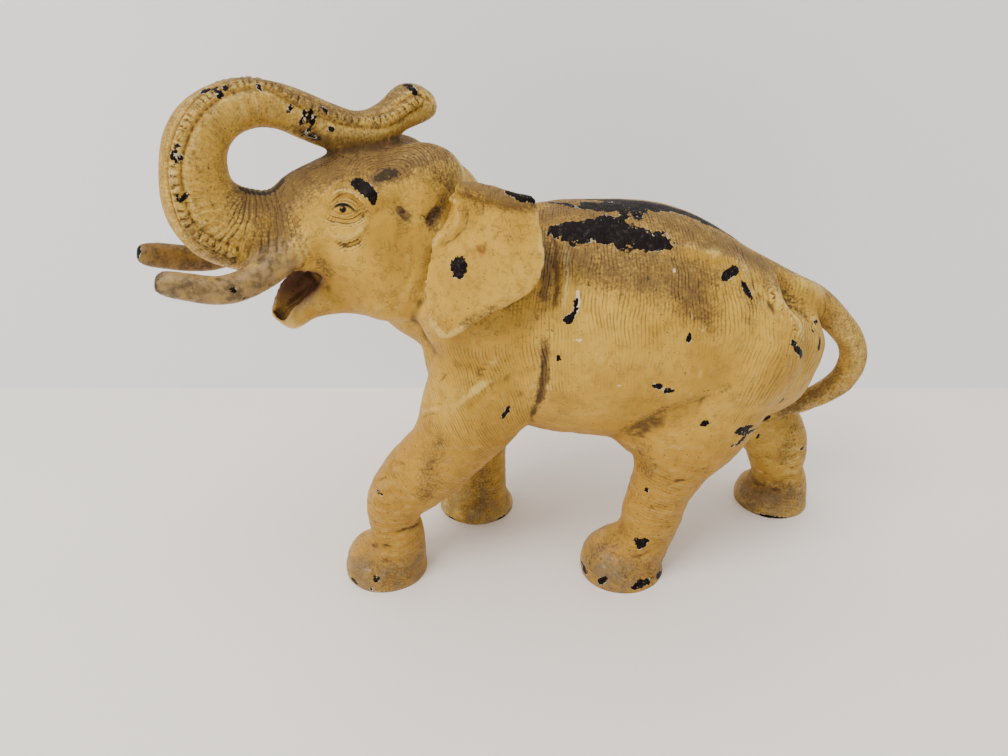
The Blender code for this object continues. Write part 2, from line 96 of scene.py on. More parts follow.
class Recipe:
    """A material under construction."""

    def __init__(self, name):
        self.material = bpy.data.materials.new(name)
        self.material.use_nodes = True
        self.tree = self.material.node_tree
        self.shader = self.tree.nodes["Principled BSDF"]
        self.place = self.add("ShaderNodeTexCoord", output=3)

    def add(self, kind, settings={}, sockets={}, output=0):
        node = self.tree.nodes.new(kind)
        for key, value in settings.items():
            setattr(node, key, value)
        for key, value in sockets.items():
            self.put(node.inputs[key], value)
        return Shade(self, node.outputs[output])

    def put(self, socket, value):
        if isinstance(value, Shade):
            self.tree.links.new(value.socket, socket)
        else:
            socket.default_value = value

    def math(self, operation, a, b=0.0):
        return self.add("ShaderNodeMath", {"operation": operation}, {0: a, 1: b})

    def smooth(self, value, low, high, kind="SMOOTHSTEP"):
        return self.add("ShaderNodeMapRange", {"interpolation_type": kind},
                        {0: value, 1: low, 2: high})

    def mix(self, share, a, b):
        a, b = [x if isinstance(x, Shade) else (*x, 1) for x in (a, b)]
        return self.add("ShaderNodeMix", {"data_type": "RGBA"}, {0: share, 6: a, 7: b}, 2)

    def noise(self, size, detail=2.0, rough=0.5):
        """Noise from 0 to 1 whose lumps are about size mm across."""
        return self.add("ShaderNodeTexNoise", {}, {"Vector": self.place, "Scale": 1 / (size * MM),
                                                   "Detail": detail, "Roughness": rough})

    def patches(self, size, low, high, detail=3.0, rough=0.5):
        """Patches of about size mm: 0 where the noise is under low and 1 where it is over high."""
        return self.smooth(self.noise(size, detail, rough), low, high)

    def cracks(self, place, scale, low, high):
        """A net of cracks, 1 nearer than low to the edges between cells and 0 beyond high."""
        cells = self.add("ShaderNodeTexVoronoi", {"feature": "DISTANCE_TO_EDGE"},
                         {"Vector": place, "Scale": scale})
        return 1 - self.smooth(cells, low, high)

    def parts(self, vector):
        return [self.add("ShaderNodeSeparateXYZ", {}, {0: vector}, i) for i in range(3)]

    def attribute(self, name):
        """The three numbers of a vector attribute of the mesh."""
        return self.parts(self.add("ShaderNodeAttribute", {"attribute_name": name}, output=1))

    def finish(self, colour, roughness, height, **fixed):
        """Links the surface, with height in mm, and sets what is the same all over."""
        self.put(self.shader.inputs["Base Color"], colour)
        self.put(self.shader.inputs["Roughness"], roughness)
        bump = self.add("ShaderNodeBump", {}, {"Distance": MM, "Height": height})
        self.put(self.shader.inputs["Normal"], bump)
        for key, value in fixed.items():
            self.shader.inputs[key.replace("_", " ")].default_value = value
        return self.material


# Room: a white tabletop and wall, seen only from their front sides, and soft daylight from
# the upper left.
def room_side(name, corners, colour, roughness):
    mesh = bpy.data.meshes.new(name)
    mesh.from_pydata(corners, [], [range(len(corners))])
    item = bpy.data.objects.new(name, mesh)
    scene.collection.objects.link(item)
    recipe = Recipe(name)
    cloudy = recipe.noise(260, 1)
    speck = recipe.patches(2.2, 0.78, 0.84, 1)
    shade = recipe.mix(cloudy, colour, [c * 0.965 for c in colour])
    shade = recipe.mix(speck * 0.10, shade, (0.45, 0.42, 0.4))
    material = recipe.finish(shade, roughness, recipe.noise(6, 2) * 0.01)
    behind = recipe.add("ShaderNodeNewGeometry", output=6)
    clear = recipe.add("ShaderNodeBsdfTransparent")
    front = Shade(recipe, recipe.shader.outputs[0])
    both = recipe.add("ShaderNodeMixShader", {}, {0: behind, 1: front, 2: clear})
    recipe.put(recipe.tree.nodes["Material Output"].inputs["Surface"], both)
    mesh.materials.append(material)


FAR, WALL_Y = 3, 0.164
TABLETOP_COLOUR, TABLETOP_ROUGHNESS = (0.9, 0.835, 0.765), 0.42
for name, near_y, far_y in (("tabletop", -FAR, WALL_Y), ("tabletop_behind", WALL_Y, FAR)):
    room_side(name, [(-FAR, near_y, 0), (FAR, near_y, 0), (FAR, far_y, 0), (-FAR, far_y, 0)],
              TABLETOP_COLOUR, TABLETOP_ROUGHNESS)
room_side("wall", [(-FAR, WALL_Y, 0), (FAR, WALL_Y, 0), (FAR, WALL_Y, FAR), (-FAR, WALL_Y, FAR)],
          (0.94, 0.95, 0.955), 0.6)


def softbox(name, place, aim, size, power, colour):
    light = bpy.data.lights.new(name, "AREA")
    light.shape = "RECTANGLE"
    light.size, light.size_y = size
    light.energy = power
    light.color = colour
    item = bpy.data.objects.new(name, light)
    item.location = place
    item.rotation_euler = (Vector(aim) - Vector(place)).to_track_quat("-Z", "Y").to_euler()
    scene.collection.objects.link(item)


softbox("window", (-0.9, -0.9, 1.5), (0, 0, 0.1), (1.0, 0.8), 28, (1.0, 0.985, 0.955))
softbox("ceiling", (0.25, -0.2, 1.7), (0, 0, 0), (1.6, 1.2), 16.2, (1.0, 0.99, 0.97))
world = bpy.data.worlds.new("room")
scene.world = world
world.use_nodes = True
background = world.node_tree.nodes["Background"].inputs
background["Color"].default_value = (0.93, 0.95, 1.0, 1)
background["Strength"].default_value = 0.62

# Figure: the overlapping forms of body, head, legs and tail.  A station is x, y, z, half
# width and half depth, or one half size for both.  A lump is x, y, z, three radii and a lean.
# An ear's row is a point on its front edge and one on its back edge.
HEAD = [
    (-6, 0, 139, 14.5, 14), (-15, 0, 143.5, 20.9, 22), (-27, 0, 148, 26.1, 30.5),
    (-41, 0, 150.5, 29, 34), (-55, 0, 152, 29, 34), (-67, 0, 155.5, 26.1, 29.3),
    (-78, 0, 157, 19.8, 21.5), (-89, 0, 155.5, 16, 16.2), (-100, 0, 158, 15.1, 15)]
TRUNK = [
    (-109.5, 0, 162.5, 14.1, 14.8), (-114.8, 0, 170.5, 12.9, 13.2), (-115.4, 0, 181, 11.7, 11.2),
    (-112.6, 0, 191.2, 10.9, 10.4), (-105.6, 0, 198, 10.2, 9.4), (-96, 0, 201.2, 9.4, 8.5),
    (-85, 0, 200, 8.8, 8), (-76, 0, 196, 8.5, 8.2), (-66.5, 0, 191.8, 8.5, 8.1),
    (-58, 0, 189.8, 8.5, 7), (-50.5, 0, 190.2, 8.3, 6.9), (-42.5, 0, 193.8, 7.9, 7),
    (-36.4, 0, 197.3, 7.7, 8.3), (-32.4, 0, 197.3, 7.6, 7.6), (-28.8, 0, 196.9, 7, 6.2),
    (-25.9, 0, 196.6, 6, 4.2), (-24.8, 0, 196.5, 4.8, 2.6)]
JAW = [
    (-50, 0, 132, 17.4, 12), (-62, 0, 131, 16.2, 10.3), (-73, 0, 131, 13.9, 9.3),
    (-83, 0, 130.8, 11.5, 9.8), (-89, 0, 125.4, 9, 8.2), (-93.6, 0, 120.9, 6.2, 5.9)]
TUSK = [
    (-82, 13, 156, 6.8), (-92, 15, 151.3, 6.3), (-101, 17, 146.8, 5.7), (-110, 18, 143.9, 5.3),
    (-118, 18.6, 144, 5.1), (-126, 18.8, 146.6, 4.9), (-132, 18.6, 148.7, 4.5),
    (-136, 18.3, 150, 3.1)]
RIBS = [
    (-34.5, -2, 104, 17, 15), (-23, -1, 105, 27.6, 27), (-6, 0, 110, 37.4, 41),
    (15, 0, 112, 42.3, 48.5), (35, 0, 111.5, 44.5, 50.4), (55, 0, 110.2, 44.5, 50.9),
    (75, 0, 106.6, 43.2, 46.8), (95, 0, 103, 39.2, 39), (112, 0, 101, 32, 31.5),
    (124.5, 0, 105, 21.4, 19.5), (133.5, 0, 109, 8.9, 9.5)]
NECK = [
    (34, 0, 120, 31.1, 34), (12, 0, 123.5, 30.3, 36), (-7, 2, 126.5, 29.4, 36),
    (-24, 2, 133, 26.7, 33.5), (-36, 0, 141.5, 23.1, 31)]
SPINE = [
    (50, 0, 153, 7.1, 8), (70, 0, 148, 7.1, 8), (90, 0, 138.6, 7.1, 8), (110, 0, 129, 6.2, 8),
    (124, 1, 122.5, 5.3, 7.5), (131, 4.5, 117, 6, 7.8), (137, 7, 112.5, 6, 7)]
TAIL = [
    (118, 6.8, 123, 6.5), (131.5, 7.6, 118.5, 7.1), (144, 7.4, 108.6, 6.6), (153, 7, 98.4, 6.1),
    (155.6, 7.4, 88, 6.1), (152.4, 8, 78, 6), (143.5, 9.5, 70, 5.5), (132.5, 12, 63.6, 5),
    (122, 14, 59.6, 4.5), (111, 16, 58, 4.1)]
LEGS = {
    "front_left": [
        (2, -15.2, 118, 16.5, 25), (-4.5, -20.6, 98, 19.2, 25.2), (-14, -24, 80, 18, 21.8),
        (-24, -26, 64, 16.2, 16.6), (-36.5, -27, 51, 14.7, 15.8), (-46.8, -27, 39.5, 13.2, 12.8),
        (-48.4, -26.5, 29, 12.6, 11.4), (-46.8, -26, 20.5, 12.4, 11.2),
        (-48.2, -25.5, 13, 13.8, 13.6), (-51, -25, 6.5, 16.4, 17)],
    "front_right": [
        (2, 15.2, 116, 16.5, 25), (-6, 21.1, 92, 18, 21), (-9, 24, 66, 15.3, 15.5),
        (-10.5, 24.5, 46, 13.5, 13), (-11, 24.5, 31, 12.8, 12), (-10.5, 24.5, 20, 12.6, 11.8),
        (-12, 24.5, 12.5, 14.7, 14), (-13.5, 24.5, 7, 16.8, 17)],
    "rear_left": [
        (98, -12.2, 108, 15.8, 29), (86, -20.6, 88, 18, 25.5), (76, -24.5, 69.5, 17.2, 23.2),
        (71, -25.7, 55.5, 15.3, 16.2), (67.2, -26, 42, 14.1, 13.2), (65, -25.7, 30, 13.5, 13.4),
        (63.2, -25.5, 20.5, 13, 12.2), (60.2, -25.2, 12.5, 14.2, 13.6),
        (56, -25, 6.5, 16.6, 17.2)],
    "rear_right": [
        (92, 12.2, 106, 15.8, 27), (103, 20.6, 84, 17.1, 20.5), (114.5, 24.5, 66, 15.6, 17.4),
        (125, 26.5, 51, 14.7, 16.6), (134.4, 27.4, 39, 14.1, 15.8),
        (137.6, 27.4, 28, 13.3, 14.4), (139, 27.4, 19.5, 12.8, 12.6),
        (141.4, 27.7, 12.5, 13.6, 13.8), (140.2, 27.9, 6.5, 15.6, 17)]}
SOLES = {"front_left": (-53.2, -25, 18.7), "front_right": (-14, 24.5, 19.3),
         "rear_left": (53.8, -25, 19.2), "rear_right": (138.8, 28.2, 18.4)}
HEAD_LUMPS = [
    (-38, 13.3, 171, 18, 14.5, 15, 0), (-58, 16, 171, 14, 11, 8, 20),
    (-49, 12.2, 140, 24, 17.4, 22, 12)]
BODY_LUMPS = [
    (-2, 23.1, 116, 22, 17.8, 34, 62), (88, 22.3, 100, 26, 19.6, 34, -62),
    (84, 18.7, 136, 12, 10.7, 8, -20), (60, 17.8, 67, 18, 16, 10, -28)]
MOUTH = [
    (-74.5, -2, 139.8, 4, 0.8), (-78, -2.5, 141, 7, 4.3), (-82, -2.5, 139.8, 8.3, 6.3),
    (-87, -2.5, 138.1, 8.8, 8.6), (-91, -2.5, 135.8, 7.6, 9.2), (-98, -2.5, 133.5, 6.4, 12.6)]
EARS = {
    "left": [
        ((-17, -24, 172), (-3, -31, 174)), ((-19, -25, 168), (10, -45.6, 171.6)),
        ((-21, -27, 161.5), (13, -48.4, 164)), ((-25, -30, 154), (14.8, -49.4, 154.5)),
        ((-28.6, -33, 145.5), (13.8, -49, 146.5)), ((-29.6, -36, 138), (9.8, -48, 140)),
        ((-28.6, -38.5, 131), (3, -46.5, 135.4)), ((-26.3, -41, 125.5), (-7, -45.5, 129.6)),
        ((-23.6, -43, 120.4), (-17.5, -44.3, 122))],
    "right": [
        ((-22, 34, 154), (-12, 36, 155.5)), ((-24, 36, 151), (4, 44.5, 152.5)),
        ((-26, 38, 146), (10.5, 48.5, 147)), ((-27, 39, 140), (13.5, 50, 139.5)),
        ((-27, 40, 133), (13, 49, 132.5)), ((-26, 40, 125), (8, 48, 126)),
        ((-24, 40, 118), (0, 47, 120)), ((-21, 41, 112.5), (-8, 46, 114)),
        ((-17, 43, 108), (-14.5, 44.5, 108.5))]}
EAR_FLAPS = [
    [(-16, -28, 172.4, 2.8), (-10, -34, 173.4, 2.8), (-3.2, -39.8, 172.6, 3.1),
    (3.2, -43.6, 172, 2.7), (8, -46, 172.2, 2.1), (10.3, -46.8, 172.4, 1.5)],
    [(-19, 35.5, 154.5, 2.8), (-11, 38.8, 155.4, 2.8), (-3.5, 42.6, 154.6, 3),
    (3.5, 45.8, 152.4, 2.6), (8.5, 47.8, 149.6, 2)]]
NECK_X, NECK_BEND, KNEE, LEG_HOLLOW = -38, 22, 62, 38
HEAD_TURN = radians(30)
TURN = (Matrix.Translation((NECK_X, 0, 0)) @ Matrix.Rotation(HEAD_TURN, 4, "Z")
        @ Matrix.Translation((-NECK_X, 0, 0)))
RING = tau * np.arange(24) / 24


def mapped(matrix, points):
    matrix = np.array(matrix)
    return points @ matrix[:3, :3].T + matrix[:3, 3]


def curve_through(rows, parts=5):
    """Rows of numbers along a smooth curve through the given rows."""
    rows = np.array(rows, float)
    padded = np.vstack([2 * rows[0] - rows[1], rows, 2 * rows[-1] - rows[-2]])
    out = []
    for a, b, c, d in zip(padded, padded[1:], padded[2:], padded[3:]):
        for t in np.arange(parts) / parts:
            out.append(0.5 * (2 * b + (c - a) * t + (2 * a - 5 * b + 4 * c - d) * t * t
                              + (3 * b - a - 3 * c + d) * t ** 3))
    return np.array(out + [rows[-1]])


def unit(vectors):
    return vectors / np.maximum(np.linalg.norm(vectors, axis=-1, keepdims=True), 1e-9)


def heading(line):
    """Which way a line of points runs at each of them."""
    return np.vstack([line[1:], line[-1:]]) - np.vstack([line[:1], line[:-1]])


def length_along(line):
    return np.concatenate([[0], np.cumsum(np.linalg.norm(np.diff(line, axis=0), axis=1))])


def stations_along(rows, parts=5, shrink=0.0):
    """Centres, directions across and deep, and half sizes, closely spaced along a form."""
    rows = curve_through(rows, parts)
    centres, halves = rows[:, :3], np.maximum(rows[:, [3, -1]] - shrink, 0.3)
    ahead = unit(heading(centres))
    across = np.array([0, 1.0, 0])
    side = unit(across - ahead * (ahead @ across)[:, None])
    return centres, side, unit(np.cross(ahead, side)), halves


def skin(bm, loops, place=Matrix()):
    """Joins rings of points, first to last, and closes both ends."""
    loops = [[bm.verts.new(place @ Vector(point)) for point in loop] for loop in loops]
    for low, high in zip(loops, loops[1:]):
        for i in range(len(low)):
            j = (i + 1) % len(low)
            bm.faces.new((low[i], low[j], high[j], high[i]))
    bm.faces.new(loops[0][::-1])
    bm.faces.new(loops[-1])


def loft(bm, rows, place=Matrix(), shrink=0.0):
    turn = np.array([np.cos(RING), np.sin(RING)]).T
    skin(bm, [c + turn @ (np.array([s, d]) * h[:, None])
              for c, s, d, h in zip(*stations_along(rows, shrink=shrink))], place)


def lump(bm, x, y, z, long, wide, tall, lean, place=Matrix()):
    matrix = (place @ Matrix.Translation((x, y, z)) @ Matrix.Rotation(-radians(lean), 4, "Y")
              @ Matrix.Diagonal((long, wide, tall, 1)))
    bmesh.ops.create_uvsphere(bm, u_segments=24, v_segments=16, radius=1, matrix=matrix)


def ear(bm, rows, half):
    """A blade through rows of front point and back point, rounded at its edges."""
    rows = curve_through([front + back for front, back in rows])
    fronts, backs = rows[:, :3], rows[:, 3:]
    centres, chords = (fronts + backs) / 2, (backs - fronts) / 2
    out = unit(np.cross(chords, heading(centres))) * half
    skin(bm, [c + np.outer(np.cos(RING), chord) + np.outer(np.clip(1.6 * np.sin(RING), -1, 1), o)
              for c, chord, o in zip(centres, chords, out)])


def tusk_rows(side, reach, dip):
    """Stations of the tusk on one side, with its reach and its dip as shares of TUSK's."""
    root_x, tip_z = TUSK[0][0], TUSK[-1][2]
    return [(root_x + (x - root_x) * reach, side * y, z + (1 - dip) * (tip_z - z + 2), half)
            for x, y, z, half in TUSK]


def leg_rows(name):
    x, y, half = SOLES[name]
    return LEGS[name] + [(x, y, z, half * share, half * share)
                         for z, share in ((2.5, 1), (-1, 0.98), (-6, 0.9))]


def as_object(name, bm):
    bmesh.ops.recalc_face_normals(bm, faces=bm.faces)
    mesh = bpy.data.meshes.new(name)
    bm.to_mesh(mesh)
    bm.free()
    item = bpy.data.objects.new(name, mesh)
    scene.collection.objects.link(item)
    return item


def settled(item):
    """The object with its modifiers worked out."""
    bpy.context.view_layer.update()
    worked_out = item.evaluated_get(bpy.context.evaluated_depsgraph_get())
    mesh = bpy.data.meshes.new_from_object(worked_out)
    item.modifiers.clear()
    item.data = mesh
    return item


def fused(item, voxel, passes):
    """Runs overlapping forms together into one smooth skin."""
    remesh = item.modifiers.new("fuse", "REMESH")
    remesh.mode = "VOXEL"
    remesh.voxel_size = voxel
    soften = item.modifiers.new("soften", "SMOOTH")
    soften.factor = 0.5
    soften.iterations = passes
    return settled(item)


def boolean(item, operand, operation):
    modifier = item.modifiers.new("cut", "BOOLEAN")
    modifier.operation = operation
    modifier.solver = "EXACT"
    modifier.material_mode = "TRANSFER"
    if isinstance(operand, bpy.types.Collection):
        modifier.operand_type = "COLLECTION"
        modifier.collection = operand
    else:
        modifier.object = operand


TUSKS = [tusk_rows(-1, 1, 1), tusk_rows(1, 1.02, 0.82)]
SOFT_VOXEL, CRISP_VOXEL, SKIN_VOXEL = 1.15, 0.95, 1.15
THIN_EAR, FULL_EAR = 1.1, 1.75
figure_bm = bmesh.new()
for rows in [RIBS, NECK, SPINE, TAIL] + [leg_rows(name) for name in LEGS]:
    loft(figure_bm, rows)
for rows in [HEAD + TRUNK, JAW] + TUSKS:
    loft(figure_bm, rows, TURN)
for side in (-1, 1):
    for x, y, *rest in HEAD_LUMPS:
        lump(figure_bm, x, side * y, *rest, TURN)
    for x, y, *rest in BODY_LUMPS:
        lump(figure_bm, x, side * y, *rest)
for rows in EARS.values():
    ear(figure_bm, rows, THIN_EAR)
figure = fused(as_object("figure", figure_bm), SOFT_VOXEL, 24)

# Crisp forms over the soft ones: the ears again, their folded top edges, the tusks and the
# open mouth.
crisp_bm = bmesh.new()
crisp_bm.from_mesh(figure.data)
for rows in EARS.values():
    ear(crisp_bm, rows, FULL_EAR)
for rows in EAR_FLAPS:
    loft(crisp_bm, rows)
for rows in TUSKS:
    loft(crisp_bm, rows, TURN)
crisp_bm.to_mesh(figure.data)
crisp_bm.free()
mouth_bm = bmesh.new()
loft(mouth_bm, MOUTH, TURN)
mouth = as_object("mouth", mouth_bm)
fused(figure, CRISP_VOXEL, 3)
boolean(figure, mouth, "DIFFERENCE")
settled(figure)
fused(figure, SKIN_VOXEL, 3)
bpy.data.objects.remove(mouth)

# Fine relief.  A fold is a width, a height and a path of points in mm.  Folds of the head, body
# and ears run on both sides, and the others on one.  KNOBS is the row of beads along the trunk,
# and SCRAPES and CHIPS are strings of balls (x, y, z, radius) where the paint is thin or off.
FOLDS = [
    ("head", [
        (1.2, 1.1, [(-76.3, -18.1, 167.8), (-73, -16.8, 171.4), (-69.6, -18.1, 172.3),
        (-67.2, -22.4, 171.5), (-64.4, -24.9, 167.8)]), (1, -1.1, [(-75.5, -18.7, 167.1),
        (-72.4, -18.1, 170.2), (-69.6, -19.7, 171.2), (-67.2, -23, 170),
        (-64.5, -24.7, 166.3)]), (1.3, 0.9, [(-77.5, -16.8, 169.1), (-73.8, -14.7, 173.2),
        (-69.5, -14.4, 175.1), (-65.9, -16, 176.1)]), (1, -1.1, [(-77.8, -18.8, 165.3),
        (-74.8, -20.9, 163.4), (-70.4, -22.9, 163), (-66.6, -24, 164.3),
        (-63.8, -24.8, 165.9)]), (1.5, 1, [(-77, -20.5, 162), (-75.8, -21.5, 158.5),
        (-72.8, -23.1, 157.1), (-69.5, -24.4, 157.7), (-67, -25, 160), (-65.6, -24.7, 162.9)]),
        (1, -0.9, [(-76.5, -21.4, 156.1), (-73.4, -22.7, 154.2), (-69.9, -24.6, 154.8),
        (-67, -25.4, 157.6)]), (1.3, -0.35, [(-80.1, -19.3, 152.8), (-78.3, -19.4, 149.6),
        (-77.5, -18, 145.4)]), (3.3, -0.8, [(-50.5, -25.3, 168.4), (-51.1, -26.9, 164.1),
        (-50.8, -28.1, 159.6)]), (1.9, -0.6, [(-41.3, -27, 163.3), (-39.7, -27.6, 159.6),
        (-41.8, -28.3, 156.3)]), (2.6, -0.5, [(-57.5, -20.7, 178.2), (-54.8, -23.1, 177.3),
        (-51.8, -24.7, 174.8)]), (1.5, -0.5, [(-47.4, -29, 148.9), (-50.2, -29.2, 142.2),
        (-53.2, -28.7, 136.7), (-57.4, -26.3, 130.8), (-61.1, -22.8, 127.2)]),
        (2.2, 0.5, [(-62.3, -24.4, 173.8), (-56.5, -26.3, 170.7), (-54.1, -26.6, 164.1),
        (-56.8, -28.2, 155.3), (-62.3, -27.2, 147.7)])]),
    ("ear", [
        (1.9, 2.2, [(-19.8, -20.2, 171.4), (-18.1, -18.1, 168.7), (-16, -31, 166.9),
        (-17.2, -32.4, 161.5), (-20.5, -32, 157.8), (-25.9, -26, 152.8),
        (-28.1, -27.7, 149.8)]), (2.4, -1.6, [(-13.4, -32.1, 169.3), (-13.4, -33.8, 164.7),
        (-15.3, -34.5, 159.9), (-19.4, -34.2, 155.5), (-23.1, -33.7, 151.6)]),
        (1.7, 0.9, [(-28.2, -27.6, 147.5), (-30, -29, 138.3), (-29.1, -30.6, 130.1),
        (-25.1, -39.9, 124.6), (-20.1, -44.4, 121.6)]), (1.8, -0.6, [(-23.9, -35.4, 147.6),
        (-25.8, -37.2, 140.3), (-24.4, -40.2, 132.9), (-20.8, -43.4, 125.9)]),
        (8, 1.4, [(5.2, -47.4, 152)]), (5.5, -1.3, [(-7.7, -38.5, 162)])]),
    ("once", [
        (1.7, -1.3, [(16.7, -41.9, 116.6), (15.1, -41.8, 108.3), (14.2, -40.2, 99),
        (12.6, -36.3, 89.5), (11.4, -29.8, 79.1)])]),
    ("body", [
        (3.7, -1.3, [(51.4, -29.5, 69.5), (57.2, -32.8, 77.1), (61.9, -36.8, 84.4),
        (68.7, -39.5, 90.4), (75.7, -40.8, 94.5), (83.3, -41.4, 100)]),
        (3.7, 1, [(91.2, -18.4, 143.1), (93.5, -25, 137.3), (98.7, -27.3, 130.9),
        (105.7, -27.4, 125.3), (110, -31.3, 119)]), (3.8, -0.8, [(99.3, -13, 140.7),
        (102, -21.4, 134.1), (114.6, -8.8, 122.9), (119.6, -14.4, 117.7)]),
        (1.9, -0.8, [(17.8, -16.1, 157.3), (19.2, -27.4, 149.8), (19.1, -35.8, 139),
        (16.9, -40.4, 127.1)]), (1.9, 0.6, [(21.6, -16.8, 157.5), (23.3, -28, 149.9),
        (23, -36.3, 139.2), (20.9, -41, 127.3)])]),
    ("once", [
        (2.3, 0.7, [(5.3, -40.4, 112.2), (-4.6, -39.2, 101.9), (-14.7, -39.8, 94.9),
        (-22.4, -39.4, 85.9)]), (1.6, -0.5, [(-32.2, -31.5, 84.7), (-27.7, -35.2, 88.9),
        (-23.1, -37.9, 90.4)]), (1.6, -0.5, [(-34.7, -30.1, 79.3), (-29.5, -35.2, 84.9),
        (-24.8, -38.2, 86.5)]), (1.6, 0.5, [(-34.2, -29.6, 81.4), (-29, -34.8, 86.9),
        (-24, -38, 88.6)]), (2.1, -0.6, [(-50, -33.3, 57.3), (-44.4, -35.4, 62.5),
        (-40, -38.3, 62.4)]), (2.6, 0.6, [(-56.8, -34.5, 43), (-51.7, -36.2, 50.3),
        (-45.3, -39.1, 53.2)]), (1.8, -0.8, [(-58, -32.3, 26.2), (-53.2, -37.6, 27.6),
        (-46.1, -38.9, 28.6), (-39.7, -34.8, 29.2), (-36.6, -24.7, 25.3)]),
        (1.8, -0.5, [(-61.4, -27.2, 15.7), (-53.9, -36.2, 20.1), (-45.7, -38.3, 22.8)]),
        (1.8, -0.6, [(42.8, -29.1, 15), (47.5, -34.2, 15.2), (54, -37.8, 15.9),
        (61.1, -38.8, 17.8), (68.3, -37.5, 21.6)]), (1.7, -0.5, [(57.5, -35.1, 43.4),
        (62, -38.6, 42.9), (68.3, -40, 43.9), (75.2, -38.2, 45.6)]),
        (2.1, 0.8, [(-66, -34, 10.5), (-67.5, -35.7, 5.3)]), (2.1, 0.8, [(-59.6, -37.8, 10.4),
        (-60.4, -40.8, 5.2)]), (2.1, 0.8, [(-52.4, -39.4, 10.6), (-52.5, -41.6, 4.2)]),
        (2.1, 0.8, [(39.2, -31.4, 10.7), (37.6, -32.7, 5)]), (2.1, 0.8, [(43.9, -36.9, 10.7),
        (43.1, -39.6, 5.2)]), (2.1, 0.8, [(50.6, -39.6, 10.3), (50.2, -42.4, 4.8)]),
        (2.3, 0.8, [(-28.1, 14.3, 6.8), (-29.3, 13.3, 0.8)]), (2.3, 0.8, [(-21.8, 9.7, 7.7),
        (-22.4, 7.6, 1.9)]), (2.3, 0.8, [(-14.8, 8.1, 7.6), (-14.9, 5.8, 2.1)]),
        (2.4, 0.8, [(121.2, 20.5, 8), (121.2, 18, 2.4)]), (2.4, 0.8, [(125.7, 15.5, 8.4),
        (125.9, 13.3, 2.6)]), (2.4, 0.8, [(132.1, 13.5, 8.6), (132.2, 10.9, 2.6)])]),
    ("head", [
        (5, -1.5, [(-54.8, -23.1, 177.3)]), (3, -1.6, [(-41.3, -29.3, 160.9)]),
        (1, -0.7, [(-36.8, -6.3, 200.9), (-32, -6.5, 201), (-28, -6.3, 198)]),
        (0.9, -0.5, [(-40.2, -6.6, 198.7), (-38.3, -7.3, 195.8), (-34, -6.7, 195.5),
        (-29.7, -6.3, 196.7)])]),
    ("body", [
        (3.2, 1.7, [(61.7, -25.4, 151.5), (74.7, -23.8, 148.3), (86.3, -20.1, 144.9),
        (93.4, -17.7, 142.2)]), (2.6, -1.9, [(94.2, -21, 140.4), (96, -26, 135),
        (101.2, -28, 129.7), (104.2, -30, 124)]), (3, 2.1, [(100, -19, 138.4), (106, -23, 131),
        (111, -26, 124.9), (114.2, -28, 118.9), (115.6, -31, 112.7)]),
        (3, -1.5, [(111.7, -10, 130), (119.7, -10, 122.6), (127.5, -8.9, 114)]),
        (11, -2, [(77.6, -38, 131.6)]), (3, 1.4, [(92, -22, 144)]),
        (2, 0.5, [(-1.5, -41, 117.2), (-6.1, -40, 103.9), (-13.2, -41, 93.9)]),
        (1.6, -0.8, [(-18, -42, 116), (-21.9, -36, 105), (-26.9, -33, 96.1)])]),
    ("once", [
        (1.2, -0.5, [(-56.3, -31, 49.5), (-46.2, -38, 58), (-36.2, -41, 60.9)]),
        (1.4, -0.6, [(60.2, -38, 59.1), (68, -41, 56), (76, -39, 57)]),
        (1.4, -0.5, [(56, -37, 33), (66.3, -40, 30.8), (74, -37, 33)])]),
    ("head", [
        (1.5, -0.7, [(-56, -12, 122), (-50, -17, 113), (-45, -20, 107)]),
        (1.1, -0.8, [(-79, -1.5, 133.5), (-85, -1.5, 130), (-91, -1.5, 126.5)])])]
KNOBS = [
    (-109.6, -12.5, 154.3), (-114.9, -11.9, 157.8), (-119.8, -10.5, 161.9), (-122.1, -9.7, 166.1),
    (-123.1, -9.5, 170.9), (-123.2, -9, 175.1), (-123.2, -8.4, 179.8), (-122.2, -8, 185.1),
    (-120.5, -8.2, 189.7), (-117.3, -8, 195.6), (-112.9, -7.3, 200.8), (-108.2, -6.6, 204.1),
    (-104.4, -5.9, 206), (-99.3, -5.4, 207.4), (-94, -4.9, 207.9), (-88.1, -4.7, 207.4),
    (-83.4, -6.2, 205.1), (-78.5, -6.9, 202), (-72.2, -7, 198.8), (-66.1, -7.1, 196.1),
    (-59, -6.5, 194.2), (-52.4, -6.8, 193.5), (-46.3, -7.3, 194.2), (-40.5, -7.1, 197),
    (-34.7, -6.9, 199.8)]
SCRAPES = [
    [(26.7, -38, 137.5, 0.5), (27.3, -39, 134, 0.6), (26.8, -40, 131, 0.5)], [(24, -42, 121, 0.1),
    (26.5, -42.4, 119.6, 0.3), (28.6, -43, 120.3, 0.1)], [(41, -44, 101, 0.3),
    (45, -44.4, 101.8, 0.5)], [(89.5, -37, 105, 0.4), (90, -38, 101, 0.3)],
    [(62, -32, 144.5, 0.2), (66, -36, 139.5, 0.3), (69.5, -38, 134, 0.2)]]

# The left eye in the straight head's frame, with its outward and lengthwise directions, and
# the rust spot on the left ear.
EYE = (-71.6, -21, 166.3)
EYE_OUT = unit(np.array([-0.36, -0.853, 0.378]))
EYE_ALONG = unit(np.array([5.69, -2.94, -0.7]))
RUST = TO_ROW @ Vector((-8.5, -40.7, 153.7))
TO_HEAD = TURN.inverted()
MIRROR = np.array([1, -1, 1])


def step(value, low, high):
    t = np.clip((value - low) / (high - low), 0, 1)
    return t * t * (3 - 2 * t)


